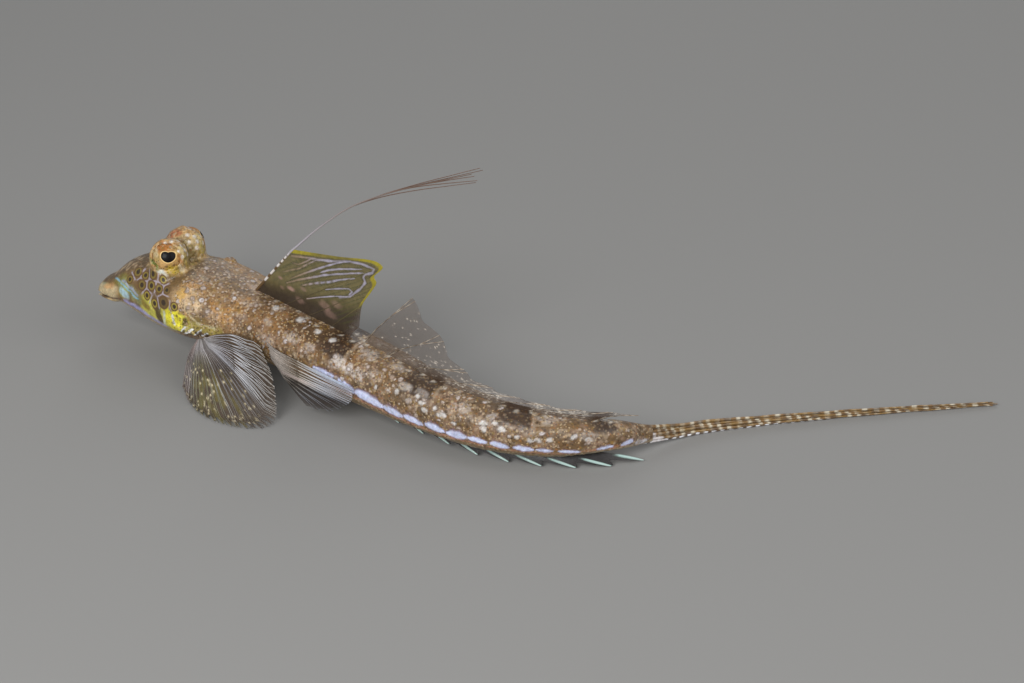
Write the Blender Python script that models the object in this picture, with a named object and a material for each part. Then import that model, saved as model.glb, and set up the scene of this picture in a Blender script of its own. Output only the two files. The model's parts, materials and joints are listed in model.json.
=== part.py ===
"""Neptune's dragonet, a small bottom-living sea fish, as a still life-size model.

The fish rests on a flat floor at z = 0 on its pelvic fans, its anal fin and the lower edge
of its tail fin.  It faces -X, its left side is towards -Y, and its body bends to the left
and back again along the tail, as a live one lies between two short hops.

Everything is placed along one bent axis that runs from the snout to the tip of the tail.
A place on the fish is a station (distance along the axis), a side (to the fish's left) and
a height above the axis.  Lengths are in millimetres and are scaled when a mesh is made.
"""
import bpy
import bmesh
import numpy as np
from math import radians, pi
from mathutils import Matrix, Vector

MM = 0.001
NAME = "neptunes_dragonet"
GAP = 0.3            # clearance between neighbouring pieces
FLOOR_SNAP = 0.14    # an underside this close to the floor is laid flat on it

# The axis: where the snout is, how far the axis has turned towards +Y, and its height
SNOUT = (-69.5, 21.8)
AXIS_TURN = ((0, -14), (8, -20), (16, -27), (24, -33), (32, -38.5), (40, -39), (50, -38.5),
             (60, -41.5), (70, -33.5), (80, -15), (90, 8), (96, 27), (102, 36), (110, 22.5), (118, 13),
             (125, 11.5), (140, 9.5), (160, 8.5))
AXIS_HEIGHT = ((0, 7.9), (3, 8.6), (5, 9.1), (8, 9.5), (12, 9.7), (21, 9.8), (30, 9.2), (46, 7.6),
               (58, 6.7), (70, 6.0), (84, 5.2), (95, 4.3), (100, 3.0), (105, 1.9), (112, 1.2), (125, 0.85),
               (140, 0.65), (160, 0.35))

# Sections of the body: half its width, and its rise above and drop below the axis
HALF_WIDTH = ((0, 1.2), (1, 2.1), (3, 2.9), (5, 3.7), (8, 5.0), (12, 6.5), (16, 7.7), (20, 8.4), (24, 8.1),
              (29, 7.2), (36, 6.5), (45, 6.0), (52, 5.6), (59, 5.1), (68, 4.5), (75, 4.1), (81, 3.7),
              (87, 3.2), (92, 2.6), (96, 2.3))
RISE = ((0, 0.9), (1, 1.7), (3, 2.6), (5, 3.9), (8, 5.2), (12, 5.8), (16, 5.6), (20, 5.3), (24, 4.9),
        (29, 4.5), (36, 4.5), (45, 4.6), (52, 4.5), (59, 4.3), (68, 3.9), (75, 3.7), (81, 3.4),
        (87, 2.9), (92, 2.4), (96, 2.1))
DROP = ((0, 0.8), (1, 1.2), (3, 1.8), (5, 2.1), (8, 3.4), (12, 4.7), (16, 5.1), (20, 5.2), (24, 4.9),
        (29, 4.5), (36, 4.4), (45, 4.5), (52, 4.4), (59, 4.2), (68, 3.8), (75, 3.6), (81, 3.3),
        (87, 2.8), (92, 2.3), (96, 2.0))
ROUND_BACK = 2.2     # exponents of the section's upper and lower halves: 2 is an ellipse
ROUND_BELLY = 2.7

# Where the body is parted
HEAD_END = 25.0
TRUNK_MIDDLE = 50.0
TRUNK_END = 74.0
STALK_END = 95.0
TAIL_TIP = 157.5

# The eyes, each in a fleshy hood, which is round about an upright line: (height, radius)
EYE_STATION = 14.1
EYE_SIDE = 2.4
EYE_HEIGHT = 6.85
EYE_RADIUS = 2.35
EYE_LOOK = (0.35, 0.86, 0.36)       # the way the eyeball stands out of its hood and looks
EYE_STAND = 0.9
HOOD = ((-4.6, 4.2), (-3.8, 3.9), (-3.0, 3.5), (-2.2, 3.22), (-1.2, 3.05), (0, 3.0), (1.1, 2.8),
        (1.9, 2.35), (2.5, 1.7), (2.9, 0.8))
HOOD_STRETCH = 1.06
LID_RADIUS = 2.6                    # the lid, a soft rim round the eyeball
LID_THICK = 0.5
LID_AHEAD = 0.45                    # how far the lid lies beyond the middle of the eyeball


def through(table):
    """A smooth curve through a table of (station, value)."""
    stations = np.array([row[0] for row in table], float)
    values = np.array([row[1] for row in table], float)
    slopes = np.gradient(values, stations)

    def curve(x):
        x = np.clip(np.asarray(x, float), stations[0], stations[-1])
        i = np.clip(np.searchsorted(stations, x, side="right") - 1, 0, len(stations) - 2)
        step = stations[i + 1] - stations[i]
        t = (x - stations[i]) / step
        start = (2 * t ** 3 - 3 * t ** 2 + 1) * values[i] + (t ** 3 - 2 * t ** 2 + t) * step * slopes[i]
        end = (3 * t ** 2 - 2 * t ** 3) * values[i + 1] + (t ** 3 - t ** 2) * step * slopes[i + 1]
        return start + end
    return curve


turn_at = through(AXIS_TURN)
height_at = through(AXIS_HEIGHT)
half_width = through(HALF_WIDTH)
rise = through(RISE)
drop = through(DROP)

AXIS_STEP = 0.25
AXIS_S = np.arange(0, 160 + AXIS_STEP, AXIS_STEP)
AXIS_YAW = np.radians(turn_at(AXIS_S))
AXIS_LEVEL = np.sqrt(1 - np.gradient(height_at(AXIS_S), AXIS_S) ** 2)
AXIS_X = SNOUT[0] + AXIS_STEP * np.concatenate([[0], np.cumsum(np.cos(AXIS_YAW) * AXIS_LEVEL)[:-1]])
AXIS_Y = SNOUT[1] + AXIS_STEP * np.concatenate([[0], np.cumsum(np.sin(AXIS_YAW) * AXIS_LEVEL)[:-1]])


def place(s, side, up):
    """World place of a point at station s, to the fish's left, above the axis."""
    s, side, up = np.broadcast_arrays(np.asarray(s, float), side, up)
    yaw = np.interp(s, AXIS_S, AXIS_YAW)
    x = np.interp(s, AXIS_S, AXIS_X) + side * np.sin(yaw)
    y = np.interp(s, AXIS_S, AXIS_Y) - side * np.cos(yaw)
    return np.stack([x, y, height_at(s) + up], axis=-1)


def skin(s, angle, out=0.0):
    """Side and height of the body's surface at an angle above the left flank, in degrees."""
    a = np.radians(angle)
    c, n = np.cos(a), np.sin(a)
    power = 2 / np.where(n >= 0, ROUND_BACK, ROUND_BELLY)
    side = (half_width(s) + out) * np.sign(c) * np.abs(c) ** power
    up = (np.where(n >= 0, rise(s), drop(s)) + out) * np.sign(n) * np.abs(n) ** power
    return side, up


def clear_of_body(s, side, up, margin):
    """Move points that lie in the body, or closer to it than the margin, straight outwards."""
    power = np.where(up >= 0, ROUND_BACK, ROUND_BELLY)
    tall = np.where(up >= 0, rise(s), drop(s)) + margin
    level = (np.abs(side) / (half_width(s) + margin)) ** power + (np.abs(up) / tall) ** power
    grow = np.where((level < 1) & (s < STALK_END + 1), np.maximum(level, 1e-6) ** (-1 / power), 1.0)
    return side * grow, up * grow


def new_object(name, vertices, faces):
    """A closed mesh object from points in millimetres, its faces turned outwards."""
    mesh = bpy.data.meshes.new(name)
    mesh.from_pydata([tuple(float(c) * MM for c in v) for v in vertices], [], faces)
    work = bmesh.new()
    work.from_mesh(mesh)
    bmesh.ops.recalc_face_normals(work, faces=work.faces)
    work.to_mesh(mesh)
    work.free()
    obj = bpy.data.objects.new(name, mesh)
    bpy.context.scene.collection.objects.link(obj)
    return obj


def loft(name, rings):
    """A closed body through rings of points, with flat ends."""
    rings = np.asarray(rings)
    count, around = rings.shape[:2]
    faces = [tuple(reversed(range(around))), tuple(range((count - 1) * around, count * around))]
    for i in range(count - 1):
        for j in range(around):
            k = (j + 1) % around
            faces.append((i * around + j, i * around + k, (i + 1) * around + k, (i + 1) * around + j))
    return new_object(name, rings.reshape(-1, 3), faces)


def body_length(name, start, end, steps, around):
    """One length of the body between two stations, parted by flat cuts."""
    angles = np.linspace(0, 360, around, endpoint=False)
    rings = []
    for s in np.linspace(start, end, steps):
        side, up = skin(s, angles)
        rings.append(place(s, side, up))
    return loft(name, rings)


def fin_sheet(name, across, along, middle, thickness):
    """A thin closed fin.

    middle(u, v) gives station, side and world height of its middle surface, u across the
    rays and v from root to edge; thickness(u, v) carries the rays as ridges.  Both faces
    are split into the same triangles.
    """
    u, v = np.meshgrid(np.linspace(0, 1, across), np.linspace(0, 1, along), indexing="ij")
    s, side, z = middle(u, v)
    points = place(s, side, z - height_at(s))
    normal = np.cross(np.gradient(points, axis=0), np.gradient(points, axis=1))
    normal /= np.linalg.norm(normal, axis=-1, keepdims=True)
    half = 0.5 * thickness(u, v)[..., None]
    faces_of = [points + normal * half, points - normal * half]
    for face in faces_of:
        face[..., 2] = np.where(face[..., 2] < FLOOR_SNAP, 0.0, face[..., 2])
    vertices = np.concatenate([faces_of[0].reshape(-1, 3), faces_of[1].reshape(-1, 3)])
    lower = across * along
    triangles = []
    for i in range(across - 1):
        for j in range(along - 1):
            a, b = i * along + j, (i + 1) * along + j
            for tri in ((a, b, b + 1), (a, b + 1, a + 1)):
                triangles.append(tri)
                triangles.append(tuple(lower + k for k in reversed(tri)))
    rim = [i * along for i in range(across)]
    rim += [(across - 1) * along + j for j in range(1, along)]
    rim += [i * along + along - 1 for i in range(across - 2, -1, -1)]
    rim += [j for j in range(along - 2, 0, -1)]
    for a, b in zip(rim, rim[1:] + rim[:1]):
        triangles.append((a, a + lower, b + lower))
        triangles.append((a, b + lower, b))
    return new_object(name, vertices, triangles)


def ridges(u, count, sharp=1.0):
    """Height from 0 to 1 of evenly set rays across a fin."""
    return (0.5 + 0.5 * np.cos(2 * pi * u * count)) ** sharp


def blend(u, table):
    """A smooth value across a fin from a few (u, value) pairs."""
    return through(table)(u)


def paint(obj, colour, roughness, coat=0.0):
    """The object's own material."""
    material = bpy.data.materials.new(obj.name + "_finish")
    material.use_nodes = True
    shader = material.node_tree.nodes["Principled BSDF"]
    shader.inputs["Base Color"].default_value = (*colour, 1.0)
    shader.inputs["Roughness"].default_value = roughness
    shader.inputs["Metallic"].default_value = 0.0
    shader.inputs["Coat Weight"].default_value = coat
    obj.data.materials.clear()
    obj.data.materials.append(material)
    obj.data.shade_smooth()
    return obj


# Colours, roughness and coat of each finish
SAND_SKIN = ((0.33, 0.21, 0.10), 0.55)
HEAD_SKIN = ((0.42, 0.27, 0.12), 0.50)
EYE_GLOSS = ((0.50, 0.26, 0.07), 0.20, 0.5)
PALE_FIN = ((0.62, 0.60, 0.52), 0.45)
OLIVE_FIN = ((0.30, 0.27, 0.10), 0.45)
DARK_FIN = ((0.16, 0.16, 0.15), 0.45)
BANDED_FIN = ((0.38, 0.30, 0.20), 0.50)


# The head, with its hooded eyes, lips, mouth, nostrils, gill pores and cheek spines

def ball(name, centre, radii, turn=0.0, segments=16, rings=10):
    """An ellipsoid in millimetres, its long axis turned about Z."""
    mesh = bpy.data.meshes.new(name)
    work = bmesh.new()
    bmesh.ops.create_uvsphere(work, u_segments=segments, v_segments=rings, radius=1.0)
    work.to_mesh(mesh)
    work.free()
    size = Matrix.Diagonal((radii[0] * MM, radii[1] * MM, radii[2] * MM, 1.0))
    mesh.transform(Matrix.Translation(Vector(centre) * MM) @ Matrix.Rotation(turn, 4, "Z") @ size)
    obj = bpy.data.objects.new(name, mesh)
    bpy.context.scene.collection.objects.link(obj)
    return obj


def tube(name, points, radii, resolution=1):
    """A round tapering rod through points, as a closed mesh."""
    curve = bpy.data.curves.new(name, "CURVE")
    curve.dimensions = "3D"
    curve.bevel_depth = MM
    curve.bevel_resolution = resolution
    curve.use_fill_caps = True
    spline = curve.splines.new("POLY")
    spline.points.add(len(points) - 1)
    for knot, point, radius in zip(spline.points, points, radii):
        knot.co = (*(float(c) * MM for c in point), 1.0)
        knot.radius = radius
    source = bpy.data.objects.new(name + "_path", curve)
    bpy.context.scene.collection.objects.link(source)
    bpy.context.view_layer.update()
    evaluated = source.evaluated_get(bpy.context.evaluated_depsgraph_get())
    mesh = bpy.data.meshes.new_from_object(evaluated)
    work = bmesh.new()
    work.from_mesh(mesh)
    bmesh.ops.remove_doubles(work, verts=work.verts, dist=1e-6)
    bmesh.ops.recalc_face_normals(work, faces=work.faces)
    work.to_mesh(mesh)
    work.free()
    obj = bpy.data.objects.new(name, mesh)
    bpy.context.scene.collection.objects.link(obj)
    bpy.data.objects.remove(source)
    return obj


def combine(obj, pieces, operation):
    """Join pieces to an object, or cut them from it, and remove the pieces."""
    group = bpy.data.collections.new(obj.name + "_" + operation.lower())
    bpy.context.scene.collection.children.link(group)
    for piece in pieces:
        for owner in list(piece.users_collection):
            owner.objects.unlink(piece)
        group.objects.link(piece)
        piece.hide_render = True
        piece.display_type = "WIRE"
    boolean = obj.modifiers.new(operation.lower(), "BOOLEAN")
    boolean.operation = operation
    boolean.operand_type = "COLLECTION"
    boolean.collection = group
    boolean.solver = "EXACT"
    bpy.context.view_layer.update()
    evaluated = obj.evaluated_get(bpy.context.evaluated_depsgraph_get())
    mesh = bpy.data.meshes.new_from_object(evaluated)
    obj.modifiers.remove(boolean)
    obj.data = mesh
    for piece in list(group.objects):
        bpy.data.objects.remove(piece)
    bpy.data.collections.remove(group)
    keep_largest(obj)


def keep_largest(obj):
    """Keep only the largest closed surface of an object, with its doubles merged."""
    work = bmesh.new()
    work.from_mesh(obj.data)
    bmesh.ops.remove_doubles(work, verts=work.verts, dist=2e-6)
    bmesh.ops.dissolve_degenerate(work, edges=work.edges, dist=2e-6)
    islands, seen = [], set()
    for first in work.faces:
        if first in seen:
            continue
        island, queue = [], [first]
        seen.add(first)
        while queue:
            face = queue.pop()
            island.append(face)
            for edge in face.edges:
                for other in edge.link_faces:
                    if other not in seen:
                        seen.add(other)
                        queue.append(other)
        islands.append(island)
    largest = max(islands, key=len)
    for island in islands:
        if island is not largest:
            bmesh.ops.delete(work, geom=island, context="FACES")
    loose = [v for v in work.verts if not v.link_faces]
    bmesh.ops.delete(work, geom=loose, context="VERTS")
    bmesh.ops.triangulate(work, faces=work.faces)
    work.to_mesh(obj.data)
    work.free()


def eye_hood(hand, around=18):
    """The hood of one eye, flared where it stands on the head."""
    rings = []
    for height, radius in HOOD:
        a = np.linspace(0, 2 * pi, around, endpoint=False)
        rings.append(place(EYE_STATION + HOOD_STRETCH * radius * np.cos(a),
                           hand * EYE_SIDE + radius * np.sin(a), EYE_HEIGHT + height))
    return loft("hood", rings)


def along_look(hand, reach):
    """A point on the eye's line of sight, measured from the middle of its hood."""
    return place(EYE_STATION + EYE_LOOK[0] * reach, hand * (EYE_SIDE + EYE_LOOK[1] * reach),
                 EYE_HEIGHT + EYE_LOOK[2] * reach)


def ring(name, centre, facing, radius, thick, segments=20, sides=8):
    """A torus whose axis points along a direction."""
    facing = Vector(facing).normalized()
    bpy.ops.mesh.primitive_torus_add(
        major_segments=segments, minor_segments=sides, major_radius=radius * MM, minor_radius=thick * MM)
    obj = bpy.context.object
    obj.name = name
    turn = facing.to_track_quat("Z", "Y").to_matrix().to_4x4()
    obj.data.transform(Matrix.Translation(Vector(centre) * MM) @ turn)
    return obj


def on_skin(s, angle, out=0.0):
    side, up = skin(s, angle, out)
    return place(s, side, up)


def lip(name, level, front, corner, radius, sunk):
    """A lip as a rod round the front of the snout, its ends sunk in at the corners of the mouth."""
    points, radii = [], []
    for t in np.linspace(-1, 1, 13):
        s = front + (corner - front) * (1 - np.cos(0.5 * pi * t)) ** 0.9
        side = (half_width(s) - sunk - 0.5 * t ** 4) * np.sign(t) * abs(np.sin(0.5 * pi * t)) ** 0.8
        points.append(place(s, side, level - 0.35 * t ** 2))
        radii.append(radius * (1 - 0.6 * t ** 4))
    return tube(name, points, radii)


UPPER_LIP = dict(level=0.1, front=0.55, corner=5.2, radius=0.78, sunk=0.3)
LOWER_LIP = dict(level=-0.95, front=1.5, corner=5.0, radius=0.6, sunk=0.4)
MOUTH_LEVEL = -0.62      # height of the mouth's line above the axis at the snout
SPINE_ROOT = 18.8        # the hooked spine at the rear corner of each cheek
SPINE_TIP = 24.2
SPINE_LINE = 12          # degrees below the flank's middle line
BARB_LINE = 4
BARB_STATIONS = (21.4, 22.5, 23.4)
NOSTRIL = (9.6, 38)      # station, and degrees either side of the back's middle line
GILL_PORE = (20.4, 35)
WELL_CLEAR = 0.3         # how far the gill pore's cut lies behind its rim


def from_back(hand, degrees):
    """The angle of a line that lies some degrees off the middle of the back."""
    return 90 - hand * degrees


def cheek_spine(hand):
    """The long backward spine behind the cheek, and the small barbs on its upper edge."""
    line = from_back(hand, 90 + SPINE_LINE)
    stations = np.linspace(SPINE_ROOT, SPINE_TIP, 5)
    outs = np.array([-0.5, 0.05, 0.45, 0.65, 0.75])
    radii = np.array([0.75, 0.6, 0.45, 0.32, 0.18])
    points = [on_skin(s, line, o) for s, o in zip(stations, outs)]
    spine = tube("spine", points, radii)
    barbs = []
    for k, s in enumerate(BARB_STATIONS):
        base = on_skin(s, line, 0.4 + 0.1 * k)
        tip = on_skin(s - 0.3, from_back(hand, 90 + BARB_LINE), 0.65 + 0.1 * k)
        barbs.append(tube("barb", [base, 0.5 * (base + tip), tip], [0.26, 0.2, 0.1], 0))
    return [spine] + barbs


def make_head():
    head = body_length("head", 0.0, HEAD_END - GAP / 2, 26, 32)
    add = [lip("upper_lip", **UPPER_LIP), lip("lower_lip", **LOWER_LIP)]
    cut = []
    for hand in (1, -1):
        turn = float(np.interp(EYE_STATION, AXIS_S, AXIS_YAW))
        add.append(eye_hood(hand))
        facing = along_look(hand, 1) - along_look(hand, 0)
        add.append(ring("lid", along_look(hand, EYE_STAND + LID_AHEAD), facing, LID_RADIUS, LID_THICK))
        cut.append(ball("socket", along_look(hand, EYE_STAND), (EYE_RADIUS + GAP,) * 3, turn, 18, 12))
        nose_line = from_back(hand, NOSTRIL[1])
        add.append(tube("nostril", [on_skin(NOSTRIL[0], nose_line, o) for o in (-0.5, 0.3)], [0.65, 0.5]))
        cut.append(tube("nostril_well", [on_skin(NOSTRIL[0], nose_line, o) for o in (-0.2, 0.7)], [0.22, 0.3]))
        gill_line = from_back(hand, GILL_PORE[1])
        rim = on_skin(GILL_PORE[0], gill_line, 0.1)
        well = on_skin(GILL_PORE[0] + WELL_CLEAR, gill_line, 0.7)
        add.append(ball("gill_rim", rim, (1.15, 0.9, 0.55), turn, 12, 8))
        cut.append(ball("gill_pore", well, (0.6, 0.5, 0.75), turn, 10, 6))
        add += cheek_spine(hand)
    mouth = ball("mouth", place(2.1, 0, MOUTH_LEVEL), (3.1, 3.6, 0.2), float(AXIS_YAW[8]), 20, 4)
    cut.append(mouth)
    combine(head, add, "UNION")
    combine(head, cut, "DIFFERENCE")
    return paint(head, *HEAD_SKIN)


def make_eye(name, hand):
    turn = float(np.interp(EYE_STATION, AXIS_S, AXIS_YAW))
    eye = ball(name, along_look(hand, EYE_STAND), (EYE_RADIUS,) * 3, turn, 18, 12)
    return paint(eye, *EYE_GLOSS)


# Fins

D1_ROOT = (29.2, 48.6)                  # first and last station of the first dorsal fin's foot
D1_EDGE_STATION = ((0, 37.0), (0.15, 46.3), (0.28, 54.2), (0.32, 55.2), (0.42, 53.5), (0.5, 53.9), (0.65, 52.7),
                   (0.8, 51.0), (1, 50.2))
D1_EDGE_HEIGHT = ((0, 14.1), (0.15, 16.6), (0.28, 18.6), (0.32, 18.3), (0.42, 16.0), (0.5, 15.2), (0.65, 13.0),
                  (0.8, 10.4), (1, 6.4))
D1_SPINES = 3.4
FOOT = 0.12              # how far the foot of a dorsal fin's middle surface clears the gap
FILAMENT = ((37.9, 15.0), (42.6, 19.9), (48.6, 25.3), (54.8, 29.5), (61.8, 33.5), (67.5, 36.4), (72.5, 38.8))


def make_first_dorsal():
    """A sail of four spines, the first drawn out into a long filament."""
    def middle(u, v):
        root_s = D1_ROOT[0] + (D1_ROOT[1] - D1_ROOT[0]) * u
        root_up = rise(root_s) + GAP + FOOT
        edge_s = blend(u, D1_EDGE_STATION)
        edge_up = blend(u, D1_EDGE_HEIGHT)
        s = root_s + (edge_s - root_s) * v
        up = root_up + (edge_up - root_up) * v
        up = np.maximum(up, rise(s) + GAP + FOOT + 0.6 * v)
        return s, -0.5 * v ** 2 + 0.25 * np.sin(3 * pi * u) * v * (1 - v), up + height_at(s)

    def thickness(u, v):
        body = 0.5 + 0.35 * (1 - v)
        return body + (0.5 - 0.3 * v) * np.where(u < 0.85, ridges(u, D1_SPINES, 3), 0)

    fin = fin_sheet("dorsal_fin_first", 29, 9, middle, thickness)
    points = [place(s, -0.5, up) for s, up in FILAMENT]
    points.insert(0, place(33.6, -0.1, 9.6))
    radii = [0.42, 0.42, 0.38, 0.34, 0.31, 0.29, 0.27, 0.25]
    combine(fin, [tube("filament", points, radii)], "UNION")
    return paint(fin, *OLIVE_FIN)


D2_ROOT = (51.5, 91.0)
D2_LENGTH = ((0, 11.0), (0.3, 9.5), (0.7, 8.0), (1, 8.0))
D2_RAISE = ((0, 56), (0.1, 38), (0.22, 19), (0.4, 10), (0.6, 8), (1, 7))    # degrees between ray and back
D2_RAYS = 9
D2_LEAN = 28                                                        # degrees towards the right


def make_second_dorsal():
    """Nine rays, the foremost raised and the rest folded low along the back."""
    def middle(u, v):
        root_s = D2_ROOT[0] + (D2_ROOT[1] - D2_ROOT[0]) * u
        raise_angle = np.radians(blend(u, D2_RAISE))
        reach = blend(u, D2_LENGTH) * v
        s = root_s + reach * np.cos(raise_angle)
        high = reach * np.sin(raise_angle)
        side = -np.sin(radians(D2_LEAN)) * high
        up = rise(s) + GAP + FOOT + 0.08 + np.cos(radians(D2_LEAN)) * high
        side, up = clear_of_body(s, side, up, GAP + 0.3)
        return s, side, up + height_at(s)

    def thickness(u, v):
        return 0.48 + 0.16 * (1 - v) + (0.34 - 0.2 * v) * ridges(u, D2_RAYS, 1.5)

    return paint(fin_sheet("dorsal_fin_second", 37, 6, middle, thickness), *PALE_FIN)


ANAL_ROOT = (51.0, 89.5)
ANAL_SWEEP = 8.5         # how far each ray lies back from its root
ANAL_TIP_SIDE = ((0, -0.6), (0.25, -0.5), (0.4, 0.0), (0.53, 0.6), (0.66, 1.1), (0.8, 1.6), (1, 2.4))
ANAL_TIP_Z = ((0, 1.1), (0.25, 0.8), (0.4, 0.4), (0.5, 0.3), (1, 0.3))
ANAL_RAYS = 9


def make_anal():
    """Nine rays folded back under the belly, their tips on the floor."""
    def middle(u, v):
        root_s = ANAL_ROOT[0] + (ANAL_ROOT[1] - ANAL_ROOT[0]) * u
        s = root_s + ANAL_SWEEP * v
        root_z = height_at(root_s) - drop(root_s) - GAP - 0.3
        tip_z = np.maximum(blend(u, ANAL_TIP_Z), 0.3)
        z = tip_z + (root_z - tip_z) * (1 - v ** 1.3)
        side = blend(u, ANAL_TIP_SIDE) * v ** 1.2
        limit = height_at(s) - np.where(s < STALK_END, drop(s), 2.0 - 1.4 * (s - STALK_END) / 6) - GAP - 0.35
        return s, side, np.minimum(z, np.maximum(limit, 0.3))

    def thickness(u, v):
        return 0.46 + 0.14 * (1 - v) + 0.22 * (1 - 0.5 * v) * ridges(u, ANAL_RAYS, 1.5)

    return paint(fin_sheet("anal_fin", 37, 6, middle, thickness), *DARK_FIN)


CAUDAL_HALF = ((95, 2.1), (100, 1.7), (105, 1.35), (112, 1.15), (125, 0.85), (140, 0.65), (157.5, 0.4))
CAUDAL_THICK = ((95, 2.4), (100, 1.8), (105, 1.4), (112, 1.1), (125, 0.85), (140, 0.7), (157.5, 0.5))
CAUDAL_RAYS = 3
TAIL_DOWN = 110          # from this station on the tail fin's lower edge lies on the floor


def make_caudal():
    """The long tail fin, its rays folded into one narrow blade with its lower edge laid down."""
    half_height = through(CAUDAL_HALF)
    thick = through(CAUDAL_THICK)
    heights = np.linspace(-1, 1, 3 * CAUDAL_RAYS + 1)
    rings = []
    for s in np.linspace(STALK_END + GAP / 2, TAIL_TIP, 30):
        z = height_at(s) + half_height(s) * heights
        z = np.where(z < 0.1, 0.0, z)
        if s > TAIL_DOWN:
            z[0] = 0.0
        profile = 0.3 + 0.7 * np.sqrt(np.clip(1 - (0.92 * heights) ** 2, 0, 1))
        ridge = 1 + 0.22 * np.cos(pi * CAUDAL_RAYS * (heights + 1)) * min(1.0, (s - STALK_END) / 5)
        side = 0.5 * thick(s) * profile * ridge
        ring = [(side[i], z[i]) for i in range(len(z))] + [(-side[i], z[i]) for i in reversed(range(len(z)))]
        rings.append([place(s, a, b - height_at(s)) for a, b in ring])
    return paint(loft("caudal_fin", rings), *BANDED_FIN)


PECTORAL_RAYS = 8
PECTORAL_ROOT = ((0, 37.0, 10), (1, 38.6, -50))       # share, station, angle on the flank
PECTORAL_EDGE_STATION = ((0, 54.7), (0.35, 54.9), (0.6, 53.4), (0.8, 51.0), (1, 46.7))
PECTORAL_EDGE_SIDE = ((0, 6.3), (0.35, 6.6), (0.6, 6.9), (0.8, 7.3), (1, 7.5))
PECTORAL_EDGE_Z = ((0, 7.4), (0.35, 5.5), (0.6, 4.1), (0.8, 2.7), (1, 1.9))


def make_pectoral(name, hand):
    """A rounded fan folded back along the flank."""
    def middle(u, v):
        root_s = PECTORAL_ROOT[0][1] + (PECTORAL_ROOT[1][1] - PECTORAL_ROOT[0][1]) * u
        root_angle = PECTORAL_ROOT[0][2] + (PECTORAL_ROOT[1][2] - PECTORAL_ROOT[0][2]) * u
        root_side, root_up = skin(root_s, root_angle, GAP + 0.38)
        root_z = root_up + height_at(root_s)
        s = root_s + (blend(u, PECTORAL_EDGE_STATION) - root_s) * v
        side = root_side + (blend(u, PECTORAL_EDGE_SIDE) - root_side) * v + 0.9 * v * (1 - v)
        z = root_z + (blend(u, PECTORAL_EDGE_Z) - root_z) * v ** 1.15
        side, up = clear_of_body(s, side, z - height_at(s), GAP + 0.38)
        return s, hand * side, np.maximum(up + height_at(s), 0.3)

    def thickness(u, v):
        return 0.46 + 0.14 * (1 - v) + (0.24 - 0.1 * v) * ridges(u, PECTORAL_RAYS, 1.5)

    return paint(fin_sheet(name, 33, 7, middle, thickness), *PALE_FIN)


PELVIC_ROOT = ((0, 22.3, -44), (1, 24.2, -25))
PELVIC_EDGE_STATION = ((0, 23.2), (0.15, 28.0), (0.35, 35.0), (0.5, 40.2), (0.65, 43.6), (0.8, 43.6),
                       (0.9, 41.4), (1, 37.6))
PELVIC_EDGE_SIDE = ((0, 12.0), (0.15, 15.2), (0.35, 17.3), (0.5, 16.6), (0.65, 14.2), (0.8, 11.3),
                    (0.9, 9.5), (1, 8.0))
PELVIC_EDGE_Z = ((0, 0.3), (0.15, 0.3), (0.65, 0.3), (0.8, 1.8), (0.9, 6.0), (1, 9.5))
PELVIC_RAYS = 6


def make_pelvic(name, hand):
    """A broad fan from the throat, arched down to the floor and back along the breast."""
    def middle(u, v):
        root_s = PELVIC_ROOT[0][1] + (PELVIC_ROOT[1][1] - PELVIC_ROOT[0][1]) * u
        root_angle = PELVIC_ROOT[0][2] + (PELVIC_ROOT[1][2] - PELVIC_ROOT[0][2]) * u
        root_side, root_up = skin(root_s, root_angle, GAP + 0.4)
        root_z = root_up + height_at(root_s)
        edge_s = blend(u, PELVIC_EDGE_STATION)
        edge_side = blend(u, PELVIC_EDGE_SIDE)
        edge_z = np.maximum(blend(u, PELVIC_EDGE_Z), 0.3)
        bow = v * (1 - v)
        s = root_s + (edge_s - root_s) * v - 1.6 * bow * (1 - u)
        side = root_side + (edge_side - root_side) * v + 1.2 * bow * (1 - u)
        upper = np.clip((u - 0.7) / 0.3, 0, 1)
        z = edge_z + (root_z - edge_z) * (1 - np.minimum(v / 0.86, 1) ** (1.7 - 0.9 * upper)) + 5 * bow * upper
        side, up = clear_of_body(s, side, z - height_at(s), GAP + 0.38)
        return s, hand * side, np.maximum(up + height_at(s), 0.3)

    def thickness(u, v):
        fine = ridges(u, 2 * PELVIC_RAYS, 1.2) * np.clip(1.6 * v - 0.3, 0, 1)
        stout = ridges(u, PELVIC_RAYS, 1.5) * (1 - 0.7 * v)
        return 0.46 + 0.16 * (1 - v) + 0.3 * np.maximum(stout, 0.8 * fine) * (1 - 0.35 * v)

    return paint(fin_sheet(name, 45, 8, middle, thickness), *PALE_FIN)


def make_fish():
    pieces = [
        make_head(),
        make_eye("eye_left", 1),
        make_eye("eye_right", -1),
        paint(body_length("trunk_front", HEAD_END + GAP / 2, TRUNK_MIDDLE - GAP / 2, 17, 28), *SAND_SKIN),
        paint(body_length("trunk_rear", TRUNK_MIDDLE + GAP / 2, TRUNK_END - GAP / 2, 16, 28), *SAND_SKIN),
        paint(body_length("tail_stalk", TRUNK_END + GAP / 2, STALK_END - GAP / 2, 14, 24), *SAND_SKIN),
        make_first_dorsal(),
        make_second_dorsal(),
        make_anal(),
        make_caudal(),
        make_pectoral("pectoral_fin_left", 1),
        make_pectoral("pectoral_fin_right", -1),
        make_pelvic("pelvic_fin_left", 1),
        make_pelvic("pelvic_fin_right", -1),
    ]
    group = bpy.data.collections.new(NAME)
    bpy.context.scene.collection.children.link(group)
    for piece in pieces:
        for owner in list(piece.users_collection):
            owner.objects.unlink(piece)
        group.objects.link(piece)
    return pieces


for old in list(bpy.data.objects):
    bpy.data.objects.remove(old)
make_fish()
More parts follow.
